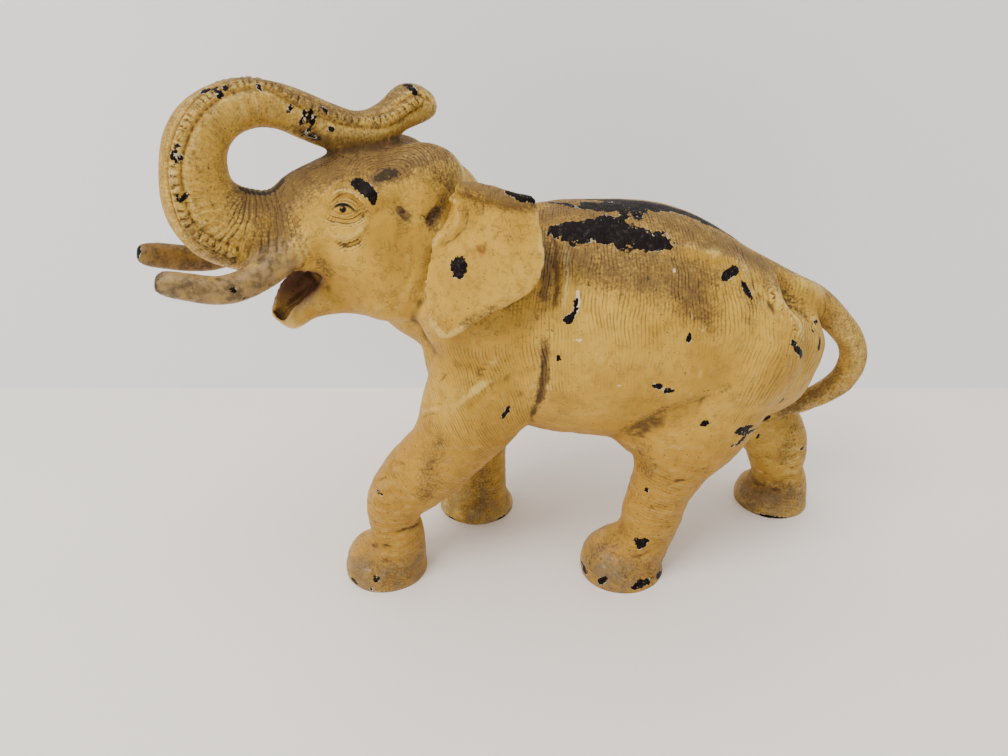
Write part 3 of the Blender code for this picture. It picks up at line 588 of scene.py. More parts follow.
def noise(points, size, seed=0):
    """Smooth noise from -1 to 1 whose lumps are about size mm across."""
    place = points / size + 31.7 * seed + 500
    cell = np.floor(place).astype(np.int64)
    share = place - cell
    share = share * share * (3 - 2 * share)
    total = np.zeros(len(points))
    for corner in np.ndindex(2, 2, 2):
        x, y, z = (cell + corner).T
        h = (x * 73856093) ^ (y * 19349663) ^ (z * 83492791)
        h = ((h ^ (h >> 13)) * 60493 + 19990303) & 0x7FFFFFFF
        total += np.prod(np.where(corner, share, 1 - share), axis=1) * (h % 2003 / 1001 - 1)
    return total


def nearest(points, line):
    """Index of the nearest point of a line for each of the points."""
    parts = np.array_split(points, max(1, len(points) // 20000))
    return np.concatenate([((line ** 2).sum(1) - 2 * part @ line.T).argmin(1) for part in parts])


def follow(points, rows):
    """Length along a form's middle line, angle round it and share of its half size."""
    centres, side, deep, halves = stations_along(rows, 10)
    lengths = length_along(centres)
    near = nearest(points, centres)
    middle = np.clip(near, 1, len(centres) - 2)
    tangent = unit(centres[middle + 1] - centres[middle - 1])
    off = points - centres[near]
    along = (off * tangent).sum(1)
    off = off - tangent * along[:, None]
    u, v = (off * side[near]).sum(1) / halves[near, 0], (off * deep[near]).sum(1) / halves[near, 1]
    return lengths[near] + along, np.degrees(np.arctan2(v, u)), np.hypot(u, v)


def boxed(points, line, margin):
    """Indices of the points in the box round a line, with a margin."""
    low, high = line.min(0) - margin, line.max(0) + margin
    return np.flatnonzero(np.all((points > low) & (points < high), axis=1))


def from_path(points, path, reach=6.0):
    """Distance, up to reach, from balls (x, y, z, radius) along a path, and how far along."""
    path = np.array([(*p, 0) if len(p) == 3 else p for p in path], float)
    if len(path) == 1:
        path = np.vstack([path, path + (0.01, 0, 0, 0)])
    centres, radii = path[:, :3], path[:, 3]
    close = boxed(points, centres, reach + radii.max())
    gap, share = np.full(len(points), reach), np.zeros(len(points))
    here, best, best_share = points[close], gap[close], share[close]
    for i, (a, b, r, q) in enumerate(zip(centres, centres[1:], radii, radii[1:])):
        span = b - a
        t = np.clip((here - a) @ span / (span @ span), 0, 1)
        there = np.linalg.norm(here - a - t[:, None] * span, axis=1) - r - t * (q - r)
        closer = there < best
        best[closer], best_share[closer] = there[closer], (i + t[closer]) / (len(centres) - 1)
    gap[close], share[close] = best, best_share
    return gap, share


def read(data, field="co"):
    values = np.empty(len(data) * 3, np.float32)
    data.foreach_get(field, values)
    return values.reshape(-1, 3).astype(float)


def smoothed(item, passes):
    """Where the points of an object lie after smoothing."""
    soften = item.modifiers.new("soften", "SMOOTH")
    soften.iterations = passes
    bpy.context.view_layer.update()
    mesh = item.evaluated_get(bpy.context.evaluated_depsgraph_get()).data
    places = read(mesh.vertices)
    item.modifiers.clear()
    return places


def refine(item, wanted):
    """Halves the faces round the points for which wanted is true, given their places."""
    bm = bmesh.new()
    bm.from_mesh(item.data)
    chosen = wanted(read(item.data.vertices))
    bm.verts.ensure_lookup_table()
    edges = {edge for i in np.flatnonzero(chosen)
             for face in bm.verts[i].link_faces for edge in face.edges}
    edges = sorted(edges, key=lambda edge: edge.index)
    bmesh.ops.subdivide_edges(bm, edges=edges, cuts=1, use_grid_fill=True)
    bmesh.ops.triangulate(bm, faces=[face for face in bm.faces if len(face.verts) > 4])
    bm.to_mesh(item.data)
    bm.free()


def head_sides(points):
    """The points in the straight head's frame, as they lie to its left and to its right side."""
    here = mapped(TO_HEAD, points)
    return here, here * MIRROR


def to_eye(points):
    return np.minimum(*[np.linalg.norm(here - EYE, axis=1) for here in head_sides(points)])


def by_face(points):
    """Whether the points are of the trunk's root or of the left cheek or ear."""
    here = mapped(TO_HEAD, points)
    x, y, z = here.T
    root = (x > -108) & (x < -78) & (z > 148) & (z < 182) & (np.abs(y) < 17)
    cheek = (x > -84) & (x < -46) & (y < -13) & (z > 132) & (z < 180)
    x, y, z = points.T
    return root | cheek | ((x > -28) & (x < 12) & (y < -27 - 0.36 * (x + 20)) & (z > 128))


def to_chips(points):
    """Distance from the edges of the bare places, negative within, and how big the nearest is."""
    gap, size = np.full(len(points), 6.0), np.zeros(len(points))
    far_side = [[(x + 6 * sin(z), -y, z - 2, r) for x, y, z, r in path]
                for path in CHIPS[9::3] + CHIPS[7:9]]
    for path in CHIPS + far_side:
        there, _ = from_path(points, path)
        closer = there < gap
        gap[closer], size[closer] = there[closer], max(r for *_, r in path)
    return gap, size


def to_knobs(points):
    line = curve_through(KNOBS, 8)
    lengths = length_along(line)
    gap, place = np.full(len(points), 9.0), np.zeros(len(points))
    for here in head_sides(points):
        some = np.flatnonzero((here[:, 0] < -30) & (here[:, 1] < 2) & (here[:, 2] > 150))
        near = nearest(here[some], line)
        there = np.linalg.norm(here[some] - line[near], axis=1)
        closer = there < gap[some]
        gap[some[closer]], place[some[closer]] = there[closer], lengths[near[closer]]
    return gap, place


CHIPS = [
    [(20.5, -20.5, 155.3, 3.2), (23.6, -21.4, 155.4, 4.6), (28, -21.5, 156, 5.8),
    (34, -21.5, 156, 6.4), (40, -21, 156, 7.2), (46, -24, 155, 6.2), (51, -25, 154, 5),
    (57, -25.5, 152.5, 4), (59.8, -25.5, 152, 3)], [(34, -6, 161.4, 4.4), (40, -7, 161.3, 4.8),
    (43.5, -6, 162, 4.2), (44.8, -9.1, 161.1, 2.2), (46.5, -15, 159.6, 1.6)],
    [(48.4, -3, 162.1, 2.4), (50, -9, 160.9, 1.8), (51.2, -15, 159, 1.4)],
    [(52.4, -4, 161.7, 1.9), (54, -11, 160, 1.2)], [(56, -4, 161.2, 1.9), (58.5, -8, 160.2, 1.4)],
    [(35.3, 5, 161.4, 2.6), (44.1, 1, 162.2, 4.4), (54, -0.4, 161.8, 4.4), (61.3, -2.6, 160.3, 4),
    (69.4, -3.2, 158.3, 3.2), (77.7, -2.8, 155.1, 2.6), (84.7, -2, 151.6, 1.8),
    (93, -1.5, 147, 1)], [(15.1, 9.5, 159.2, 0.5), (19, -0.7, 161.4, 0.7), (24.3, -3.1, 161.5, 1),
    (26.8, -6.3, 161.1, 1.2)], [(-52.4, -30.5, 175.3, 1.7), (-50, -32.6, 174.3, 2.2),
    (-47.8, -33.9, 173.2, 2.2), (-46.1, -34.3, 171.2, 1.6), (-45.7, -34.1, 168.7, 0.9)],
    [(-16, -39, 147, 3.4), (-16.1, -39.8, 144.6, 2.2)], [(1.5, -43, 174, 1.4), (5, -45, 174, 2.2),
    (8, -46.4, 173.6, 2), (10.4, -47.2, 172.8, 1.2)], [(-97.7, -38.3, 205.7, 0.7),
    (-96.1, -38, 206.3, 0.6)], [(-93.8, -38.2, 206.3, 1.1), (-92.3, -39.4, 204.9, 0.9)],
    [(-90.5, -37.3, 206.5, 1)], [(-81.6, -31.9, 207, 0.7), (-80.8, -32.6, 206.1, 0.5)],
    [(-77.3, -27, 207.2, 0.6), (-76.3, -28.6, 206.1, 0.5)], [(-104.6, -48.2, 190.6, 0.5),
    (-105.8, -48.5, 188.8, 0.7), (-107.1, -48.6, 186.9, 0.8), (-104.6, -49, 187, 0.8),
    (-106.2, -49.3, 185.1, 0.6)], [(-107.2, -49.4, 182.9, 0.5), (-107.8, -49.6, 181.1, 0.5)],
    [(-107.3, -50.4, 175.1, 0.6), (-106.5, -50.6, 173.5, 0.7), (-104.9, -50.8, 174.5, 0.5),
    (-103.9, -50.7, 175.5, 0.5)], [(-60.8, -22.4, 192, 1)], [(-72.1, -29.2, 200.4, 0.5),
    (-72.9, -29.8, 198.5, 0.5)], [(-68.2, -26.8, 198.2, 0.5), (-70.3, -27.1, 194.3, 0.5)],
    [(-66.4, -25.7, 198.1, 0.5), (-67.7, -26.3, 194.9, 0.5)], [(-65.3, -25.1, 196.7, 0.5),
    (-67.9, -25.1, 192.4, 0.5), (-70.6, -23.4, 190.5, 0.8), (-66.9, -23, 190.1, 0.8)],
    [(-63.3, -22.2, 199, 0.8), (-61.5, -22, 197, 0.6)], [(-36.2, -1, 204.3, 0.9),
    (-34.7, -1.8, 204.1, 1.3), (-33.1, -3.3, 202.5, 1.1), (-32, -3.9, 201.1, 0.6)],
    [(-133.2, -35.2, 151.3, 2.6), (-135, -36, 151.1, 3)], [(-91.5, -57.2, 144.6, 0.9)],
    [(-100.9, -62, 146.7, 0.5)], [(-113, -65.7, 146.6, 0.5), (-111, -64.9, 144.9, 0.5),
    (-108.1, -64.4, 143.7, 0.5)], [(-89.4, -54.8, 140.9, 0.5)], [(26.7, -38.8, 134.3, 0.6),
    (26.3, -40, 131.7, 0.7), (25.6, -40.9, 129.3, 1), (23.5, -41.3, 127.5, 1.5)],
    [(20.1, -42.8, 113.3, 0.7), (20.5, -43, 112.1, 0.6)], [(68.6, -42, 122.2, 0.7),
    (68.4, -42.4, 119.6, 0.8)], [(57.3, -43.1, 101.7, 0.9), (59.2, -42.9, 101.2, 1)],
    [(62.2, -42.5, 99.3, 1.2), (64.1, -42.4, 99.3, 0.8)], [(82.7, -28.7, 139.8, 1.4),
    (85.4, -26.5, 141, 2), (87.3, -25, 141.3, 1.6)], [(90.6, -27.5, 136.6, 1),
    (91.7, -28.6, 134.6, 1.3), (92.9, -29.3, 132.9, 1), (93.7, -29.7, 131.8, 0.7)],
    [(91.4, -31.3, 131.6, 0.5)], [(110.7, -33.4, 114.9, 1), (112.8, -33.1, 112.3, 1.2),
    (115.4, -31.7, 109.1, 1.2)], [(127.8, -10.6, 114, 0.7), (129.3, -8.6, 114.1, 0.5)],
    [(125.7, -14.9, 112.2, 0.7)], [(129.8, -13.6, 108.1, 0.9), (128.9, -16.1, 105.2, 1)],
    [(112.5, -29.2, 88.5, 0.8), (111.4, -28.7, 86.4, 0.5)], [(123.3, 9.9, 58.6, 1),
    (121.7, 10.7, 56, 0.6)], [(100, -34.2, 78.8, 0.5), (95.1, -36.9, 79.5, 1),
    (93, -37.8, 78.6, 1.3), (97.6, -35.2, 76.6, 1.1), (100.8, -32.7, 76.1, 0.9),
    (103.9, -29.5, 75.7, 0.5)], [(96.8, -35, 74.2, 0.9), (94.2, -36.2, 72.5, 1),
    (91.6, -37.4, 71.9, 0.8)], [(90.2, -37.5, 69.6, 0.5), (93, -35.2, 68.2, 0.5)],
    [(121.9, 12.4, 47.9, 0.5), (121.2, 13.5, 45.1, 0.5)], [(79.5, -40.1, 83.5, 1.1),
    (78.3, -40.1, 83.1, 0.7)], [(56.7, -34.2, 80.2, 0.5)], [(1.6, -39.3, 90.2, 0.7),
    (1.2, -39.2, 88.4, 0.8), (0.4, -39.4, 87.2, 0.6), (-0.8, -39.7, 85.6, 0.5)],
    [(-55.5, -41.1, 6.5, 1.4), (-55.9, -40.4, 7.6, 0.9)], [(-52.7, -36.1, 48.7, 0.5),
    (-50.8, -38, 48, 0.5)], [(-50.3, -27.1, 59.9, 0.5)], [(-48.3, -39.9, 44.3, 0.5)],
    [(57.4, -37.5, 23.2, 1.7), (59.5, -38.4, 22.4, 1.9), (60.5, -38.6, 24.6, 1.1),
    (58.3, -38.3, 20.7, 1.1)], [(59.7, -36.5, 49.5, 1)], [(53.1, -37.2, 16.5, 0.7)],
    [(144.4, 16.9, 37.5, 0.8), (147.6, 19.8, 36.2, 0.8)], [(43.9, -39.9, 5.5, 1.4),
    (42.7, -39.6, 3.5, 1.4)], [(36.5, -30.7, 4.4, 1.4), (37.2, -32.6, 3.2, 1.4),
    (35.9, -27, 4.2, 0.9)], [(59.6, -41.3, 3.3, 1.8), (56.4, -42.6, 2.8, 0.9),
    (63.5, -39.2, 3.2, 1.4)], [(68.8, -34.7, 2.2, 1.2), (71.6, -29.4, 0.5, 0.7)],
    [(-57.9, -42, 1.7, 0.7), (-52.3, -42, 0, 0.9), (-46.7, -40.4, 0.1, 0.7),
    (-43, -38.3, 0.2, 0.6)], [(-67.7, -36.2, 2.3, 0.7), (-65, -38.7, 1.6, 0.7)],
    [(-27.7, 11.5, 0.3, 0.6), (-24.7, 9, 0.2, 0.6)], [(-2.5, 9.8, 0.1, 1), (0, 12.1, 0.2, 0.8)],
    [(123.7, 15.3, 1.2, 0.8), (128.8, 11.8, 0.7, 1.1), (134.2, 10.7, 0.1, 1.1),
    (141.3, 11.5, 0.3, 0.8)], [(148, 15.4, 1.1, 0.8), (151.4, 20.3, 3.2, 0.8)]]

# Smaller faces at the knobs, the face and, twice, the eyes; then which points are of each ear.
refine(figure, lambda p: (to_knobs(p)[0] < 2.6) | (to_eye(p) < 10) | by_face(p))
refine(figure, lambda p: to_eye(p) < 6)
mesh = figure.data
points, normals = read(mesh.vertices), read(mesh.vertex_normals, "vector")
ear_share = {}
for side, rows in EARS.items():
    rows = curve_through([front + back for front, back in rows], 6)
    fronts, chords = rows[:, :3], rows[:, 3:] - rows[:, :3]
    blade = np.concatenate([fronts + chords * t for t in np.linspace(0, 1, 24)])
    some = boxed(points, blade, 8)
    gap = np.full(len(points), 9.0)
    gap[some] = np.linalg.norm(points[some] - blade[nearest(points[some], blade)], axis=1)
    ear_share[side] = 1 - step(gap, 3.2, 5.2)
ears = np.maximum(*ear_share.values())

# The casting's unevenness, coarser on the legs, and the folds over it.
wavy = np.array([0.8 * noise(points, 7, seed) + 0.3 * noise(points, 2.6, seed)
                 for seed in (6, 7, 8)]).T
rise = 0.16 * noise(points, 13) + 0.07 * noise(points, 4.5, 1)
uneven = 0.85 + 0.35 * noise(points, 5, 9)
low = 1 - step(points[:, 2], 70, 95)
rise += low * (0.22 * noise(points * (0.6, 0.6, 1.5), 4, 11)
               + 0.12 * noise(points * (1, 1, 1.5), 2.3, 12))
rise += (1 - low) * 0.09 * noise(points * (1.6, 1, 0.5), 3.6, 13)
for kind, folds in FOLDS:
    places = {"head": head_sides(points), "body": (points, points * MIRROR), "once": (points,),
              "ear": (points, points + (0, 0, 12.5))}[kind]
    flat = (1, 0, 1) if kind == "ear" else (1, 1, 1)
    for width, height, path in folds:
        for here, ear_side in zip(places, ("left", "right")):
            run = curve_through(np.array(path) * flat, 4) if len(path) > 1 else path
            gap, share = from_path((here + wavy * min(1, width / 1.6)) * flat, run, 3 * width)
            taper = step(np.minimum(share, 1 - share), -0.05, 0.3) if len(path) > 1 else 1
            sharp = 1.4 if height < 0 else 2
            part = height * taper * uneven * np.exp(-(gap / width) ** sharp) * (gap < 3 * width)
            rise += part * ear_share[ear_side] if kind == "ear" else part

# Wrinkles round the trunk, deepest where it leaves the face, and the row of knobs on each side.
WRINKLE_EVERY, KNOB_EVERY = 2.5, 2.6
s, angle, r = follow(mapped(TO_HEAD, points), HEAD + TRUNK)
trunk = step(s, 72, 92) * (1 - step(r, 1.2, 1.45))
outside = np.exp(-((angle - 90) / 38) ** 2)
turns = (s + 1.6 * noise(points, 9, 2) + 0.5 * noise(points, 3.4, 3)) / WRINKLE_EVERY
depth = np.interp(s, [72, 86, 108, 124, 200, 232], [0.3, 0.55, 0.4, 0.1, 0.06, 0.06])
rise -= (trunk * depth * (1 - 0.85 * outside) * (0.75 + 0.5 * noise(points, 6, 4))
         * (0.5 + 0.5 * np.cos(tau * turns)) ** 2)
gap, place = to_knobs(points)
block = step(0.5 + 0.5 * np.cos(tau * (place + 1.1 * noise(points, 5, 5)) / KNOB_EVERY), 0.0, 0.6)
rise += (1 - step(gap, 1.1, 2.1)) * (0.5 * block + 0.1) * (1 + 0.5 * noise(points, 4, 14))
rise += 0.35 * np.exp(-(gap / 2.4) ** 2) - 0.35 * np.exp(-((gap - 2.6) / 0.7) ** 2) * (gap < 8)

# Eyes: a ball between two lids in a shallow socket, with an inked pupil and lid and a small gap
# in the pupil's ink as a painted glint.  The SCRAPES take the same ink below zero.
EYE_HALF, UPPER_LID, LOWER_LID = 4.2, 2.1, 1.3
ink = np.zeros(len(points))
for here in head_sides(points):
    off = here - EYE
    a, b, n = off @ EYE_ALONG, off @ np.cross(EYE_OUT, EYE_ALONG), off @ EYE_OUT
    b = np.where(np.abs(n) < 7, b, 99)
    lid = np.clip(1 - (a / EYE_HALF) ** 2, 0, 1)
    upper, lower = b - UPPER_LID * lid, b + LOWER_LID * lid
    inside = (upper < 0) & (lower > 0) & (np.abs(a) < EYE_HALF)
    rise -= 0.7 * np.exp(-(a / 5.6) ** 2 - (b / 3.6) ** 2)
    rise += np.where(inside, 0.6 * np.clip(1 - (a / 3.8) ** 2 - ((b - 0.3) / 2.2) ** 2, 0, 1), 0)
    width = np.clip(1 - (np.abs(a) / 5.6) ** 3, 0, 1)
    rise += width * (0.75 * np.exp(-((upper - 0.6) / 0.5) ** 2)
                     + 0.5 * np.exp(-((lower + 0.5) / 0.5) ** 2))
    ink = np.maximum(ink, width * (1 - step(np.abs(upper), 0.4, 0.75)) * step(a, -4.6, -2.4))
    ink = np.maximum(ink, 0.5 * width * (1 - step(np.abs(lower - 0.1), 0.1, 0.4)))
    ink = np.maximum(ink, (1 - step(np.hypot(a + 0.1, b - 0.4), 1.05, 1.4)) * (upper < 0.2))
    # A painted glint: a small gap in the pupil's ink near its top.
    ink = np.where(np.hypot(a + 0.6, b - 0.95) < 0.3, 0, ink)
for path in SCRAPES:
    gap, _ = from_path(points, path)
    ink = np.minimum(ink, step(gap, -0.3, 0.9) - 1 + ink)
mesh.vertices.foreach_set("co", (points + normals * rise[:, None]).astype(np.float32).ravel())
mesh.update()

# What the paint needs to know at each point: the run of the skin's fine lines, chips, stains,
# painted shade and hollows.  The table below has strengths and strings of balls (x, y, z,
# radius) of wash, where strengths over 1 are grime on top of the wash; its strings on the inner
# sides of the far legs, down to the far hind foot, paint shade under the body as well as dirt.
WASH_AND_SHADE = [
    (0.95, [(-45, -30, 177, 1.5), (-42, -27, 178, 2.6), (-38, -25, 178, 1.9)]),
    (0.8, [(-38, -30, 166, 1.8), (-36, -30, 163, 2.6)]), (0.95, [(-27, -26, 159, 1.5),
    (-25, -24, 162, 1.9), (-23, -22, 164, 1.1)]), (0.92, [(-74, -29, 175, 5.5),
    (-66, -25, 178, 6.6), (-58, -22, 181, 5.4), (-50, -18, 183, 4.5)]),
    (0.75, [(-63, -17, 183, 1.9), (-57, -18, 183, 1.9), (-50, -17, 183, 1.9),
    (-44, -14, 183, 1.9), (-38, -10, 185, 2.3)]), (0.65, [(-29, -11, 185, 3.3),
    (-22, -14, 182, 2.3), (-17, -15, 176, 2.3)]), (0.75, [(-87, -41, 169, 4.5),
    (-82, -36, 169, 4.9), (-76, -34, 169, 4.5), (-79, -40, 161, 4.4), (-83, -44, 157, 3.3)]),
    (0.85, [(-91, -37, 174, 1.5), (-87, -33, 172, 1.9), (-83, -24, 172, 1.9),
    (-76, -22, 177, 1.9)]), (0.85, [(-71, -26, 192, 1.1), (-67, -24, 190, 1.5),
    (-63, -21, 187, 1.1)]), (0.6, [(-78, -29, 207, 1.1), (-72, -27, 204, 1.1),
    (-66, -24, 200, 1.1), (-61, -21, 197, 1.1), (-54, -17, 195, 1.2)]),
    (0.75, [(-93, -32, 209, 1.1), (-85, -30, 209, 1.1), (-77, -27, 207, 1.1)]),
    (0.6, [(-47, -8, 197, 1.6), (-41, -4, 202, 1.6), (-37, -1, 205, 1.6)]),
    (0.9, [(-14, -32, 175, 3), (-8, -39, 175, 3.8), (-1, -43, 174.5, 3.8)]),
    (0.95, [(2, -44, 174, 3.4), (9, -47, 174, 3.4)]), (0.5, [(-13, -33, 171, 1.4),
    (-9, -36, 167, 1.4)]), (0.65, [(15, -22, 154, 1.2), (16, -30, 147, 1.4), (15, -36, 137, 1.2),
    (13, -40, 128, 1)]), (0.4, [(20, -26, 151, 2.3), (20, -35, 141, 2.2), (18, -39, 130, 1.8)]),
    (0.6, [(-14, -46, 127, 1.1), (-5, -47, 132, 1.8), (3, -36, 132, 1.9), (10, -36, 135, 1.5)]),
    (0.82, [(27, -31, 146, 6.2), (42, -34, 143, 7.7), (57, -35, 141, 8.5), (72, -34, 138, 7.9)]),
    (0.65, [(68, -38, 132, 5.3), (77, -39, 126, 3.8)]), (0.85, [(18, -11, 159, 3.5),
    (28, -5, 161, 3.6), (36, -15, 159, 3.1)]), (0.75, [(52, -12, 159, 4.0), (67, -14, 156, 4.8),
    (83, -16, 149, 4.9), (100, -11, 141, 4), (114, -3, 130, 3)]), (0.5, [(90, -28, 136, 2.0),
    (93, -31, 130, 2.4), (93, -35, 124, 2.0)]), (0.45, [(106, -18, 133, 3.3), (120, -7, 121, 3.5),
    (126, -13, 114, 3.1)]), (0.8, [(15, -42, 118, 0.8), (15.5, -42, 107, 0.7), (14, -39, 95, 1),
    (12, -34, 85, 0.8)]), (0.85, [(50, -32, 76, 1.7), (56, -37, 83, 2.0), (63, -40, 89, 1.6)]),
    (0.55, [(68, -41, 92, 1.2), (76, -41, 95, 1.2), (85, -42, 100, 1.2)]),
    (0.75, [(149, 6, 84, 1.5), (142, 6, 74, 1.5), (136, 7, 68, 1.5), (130, 8, 62, 1.5)]),
    (0.8, [(-66, -35, 148, 1.1), (-65, -33, 143, 1.5)]), (0.4, [(-105, -50, 165, 2.2),
    # Below: the string from (-10, 14, 66) down the far front leg, and the two from (140, 16, 49)
    # and (126, 18, 7) on the far hind leg and foot, paint shade under the body as well as dirt.
    (-102, -49, 157, 2.2), (-97, -45, 151, 1.9)]), (0.6, [(-10, 14, 66, 7), (-12, 12, 40, 7),
    (-13, 8, 10, 7)]), (0.4, [(140, 16, 49, 4.1), (136, 14, 35, 4.2)]), (0.7, [(126, 18, 7, 6.5),
    (133, 14, 9, 7.5), (143, 14, 12, 5.4)]), (0.55, [(-62, -39, 8, 5.5), (-52, -41, 7, 5.5),
    (-41, -37, 7, 4.6)]), (0.55, [(41, -37, 8, 5.5), (51, -42, 7, 5.5), (62, -39, 9, 4.6)]),
    (0.6, [(-25, -40, 76, 2.4), (-29, -41, 67, 2.4), (-32, -41, 50, 2.1)]),
    (0.45, [(38, -31, 11, 1.8), (45, -31, 16, 2.3), (52, -30, 24, 2.3)]),
    (0.4, [(-32, -19, 112, 2.4), (-29, -23, 106, 2.4), (-30, -26, 99, 2.0)]),
    (0.45, [(56, -33, 67, 4.2), (60, -36, 59, 3.4)]), (1.3, [(15.5, -25, 151, 0.5),
    (16.5, -30, 146, 0.7), (15.5, -34, 140, 0.7), (14.5, -37, 135, 0.5)]),
    (1.5, [(-27, -25, 160, 0.9), (-25, -23, 163, 1.1)]), (1.5, [(-44, -30, 177, 0.9),
    (-41, -27, 178, 1.5), (-39, -26, 178, 0.7)]), (1.3, [(15, -42, 115, 0.5),
    (15.5, -41, 103, 0.5), (14, -38, 92, 0.6)]), (1.3, [(53, -34, 78, 0.7), (59, -37, 83, 0.9)]),
    (1.5, [(-70, -26, 191, 0.6), (-66, -23, 189, 0.8)]), (1.4, [(-37, -30, 165, 0.7),
    (-35, -30, 163, 0.9)]), (1.5, [(-91, -35, 173, 0.8), (-85, -31, 172, 0.8),
    (-80, -25, 174, 0.8)]), (0.8, [(-36, -22, 180, 6), (-27, -20, 178, 6), (-20, -20, 172, 5)]),
    (0.8, [(-10, -37, 176, 4), (0, -43, 175, 4), (9, -47, 174, 4)]), (0.35, [(-14, -44, 118, 5),
    (-2, -42, 122, 5), (8, -41, 124, 5)]), (1.9, [(-113.5, -64.8, 150.2, 2.4)])]
points, normals = read(mesh.vertices), read(mesh.vertex_normals, "vector")
here = mapped(TO_HEAD, points)
x, _, z = points.T

# The fine lines run in regions, each with a share, a phase, the depth of its lines and of its
# cracks: flank and belly, head, trunk, ears, legs, tail and tusks.
belly = (step(-z + 5 * noise(points, 14, 10), -104, -92) * step(x, 4, 22)
         * (1 - step(x, 72, 92)))
run = np.interp(x, [-60, 84, 100, 160], [-60, 84, 97, 139])
upper_phase = run + 0.000125 * (x - 45) * (np.maximum(z, 60) - 125) ** 2
flank = 1 - 0.75 * step(-z, -128, -112) * step(x, 18, 28) * (1 - step(x, 84, 96))
regions = [(0.5, np.where(belly > 0.5, z - 0.009 * (x - 45) ** 2, upper_phase),
            step(np.abs(belly - 0.5), 0, 0.3) * flank, 0.6)]
centre_rows = [(*EYE, 0), (-54.8, -23.1, 177.3, 0), (-66, -22, 138, 2), (-36, -26, 150, 4),
               (-88, -12, 160, 2)]
near_side = here * np.where(here[:, 1:2] > 0, MIRROR, 1)
arcs = np.min([np.linalg.norm(near_side - row[:3], axis=1) + row[3]
               for row in centre_rows], axis=0)
regions.append((step(-here[:, 0], 14, 34) * step(here[:, 2], 108, 126), arcs,
                0.15 + 1.05 * step(near_side[:, 2], 171, 180), 0.9))
trunk_ring = np.interp(s, [80, 115, 135, 190, 215], [0.9, 0.7, 0.4, 0.4, 0.8])
regions.append((1.2 * trunk, s * 1.25, trunk_ring, 0.6))
fan = np.linalg.norm(points * (1, 0, 1) - (2, 0, 158), axis=1)
regions.append((1.1 * ears, fan, 0.12, 0.9 + 0.4 * step(z, 146, 158) * (1 - step(x, -6, 6))))
for name in LEGS:
    along, _, r = follow(points, leg_rows(name))
    regions.append((step(-z, -78, -48) * (1 - step(r, 1.2, 1.5)), along, 0.55, 0.7))
along, _, r = follow(points, TAIL)
tail = 1.3 * (1 - step(r, 1.1, 1.4)) * step(along, 8, 18)
regions.append((tail, along, 0.35, 0.2))
tusk = np.zeros(len(points))
for rows in TUSKS:
    along, _, r = follow(here, rows)
    tusk = np.maximum(tusk, (1 - step(r, 1.15, 1.4)) * step(along, 6, 14))
regions.append((1.4 * tusk, here[:, 0], 0.3, 0.5))
regions = [[np.broadcast_to(value, len(points)) for value in region] for region in regions]
shares = np.array([region[0] for region in regions])
winner = shares.argmax(0)
sure = step(np.diff(np.sort(shares, axis=0)[-2:], axis=0)[0], 0, 0.25)
phase, ring, crackle = [np.choose(winner, [region[i] for region in regions]) for i in (1, 2, 3)]
ring = ring * sure
unstained_unshaded, grime = np.ones(len(points)), np.zeros(len(points))
for strength, path in WASH_AND_SHADE:
    soft = max(r for *_, r in path)
    for side in (1, -1):
        gap, _ = from_path(points * (1, side, 1), path, 9)
        if strength < 1:
            unstained_unshaded *= 1 - strength * (1 - step(gap, -soft, 1 + soft))
        else:
            grime = np.maximum(grime, 2 * (strength - 1) * (1 - step(gap, -0.5 * soft, soft)))
skyward = (step(normals[:, 2], 0.3, 0.95) * step(z, 110, 140) * (1 - 0.8 * ears)
           * (1 - 0.6 * step(-here[:, 0], 90, 105)))
far_tusk = tusk * (here[:, 1] > 0)
dull = np.maximum(0.42 * trunk, 0.25 * step(-z, -80, -60))
dull = np.maximum.reduce([dull, 0.4 * tail, 0.18 * ears])
unstained_unshaded *= (1 - 0.68 * skyward) * (1 - 0.6 * far_tusk) * (1 - dull)
wash_and_shade = 1 - unstained_unshaded + grime
along, _, r = follow(here, MOUTH)
mouth_share = ((1 - step(r, 1.1, 1.5)) * step(along, -2, 1)
               * (0.2 + 0.8 * step(here[:, 2], 124, 134)))
foot = 1 - step(z, 9, 22)
# How far each point lies in a fine and in a broad hollow, negative on ridges: the paint darkens
# the hollows with painted shade as well as wash and dirt, and lightens the ridges with a painted
# highlight as well as wear.
fine = ((smoothed(figure, 5) - points) * normals).sum(1)
broad = ((smoothed(figure, 60) - points) * normals).sum(1)
chip, chip_size = to_chips(points)
ATTRIBUTES = {"grain": (phase, ring, crackle), "wear_and_shade": (np.clip(chip, -3, 3), wash_and_shade, ink),
              "zone": (tusk - 2 * far_tusk, mouth_share, foot), "form": (fine, broad, chip_size)}

# Paint: old ochre over iron, a brown wash in its lines and hollows, with painted shade in the
# hollows, worn pale with a painted highlight on the ridges and chipped through to the iron with a
# pale edge of primer.
paint = Recipe("ochre_paint")
phase, ring, crackle = paint.attribute("grain")
chip, wash_and_shade, ink = paint.attribute("wear_and_shade")
tusk, mouth_share, foot = paint.attribute("zone")
fine, broad, chip_size = paint.attribute("form")
swirl = paint.add("ShaderNodeTexNoise", {}, {"Vector": paint.place, "Scale": 260, "Detail": 2}, 1)
warped = paint.add("ShaderNodeVectorMath", {"operation": "MULTIPLY_ADD"},
                   {0: swirl, 1: (0.0055, 0.0055, 0.0055), 2: paint.place})
sway = paint.noise(20, 1)
jitter = paint.noise(3.2, 2)
grit = paint.noise(0.8, 2)
speckle = paint.noise(1, 4, 0.7)
stain_and_shade = paint.smooth(wash_and_shade + (speckle - 0.5) * 1.6 + (paint.noise(5, 3, 0.6) - 0.5) * 0.7,
                     0.2, 0.95)

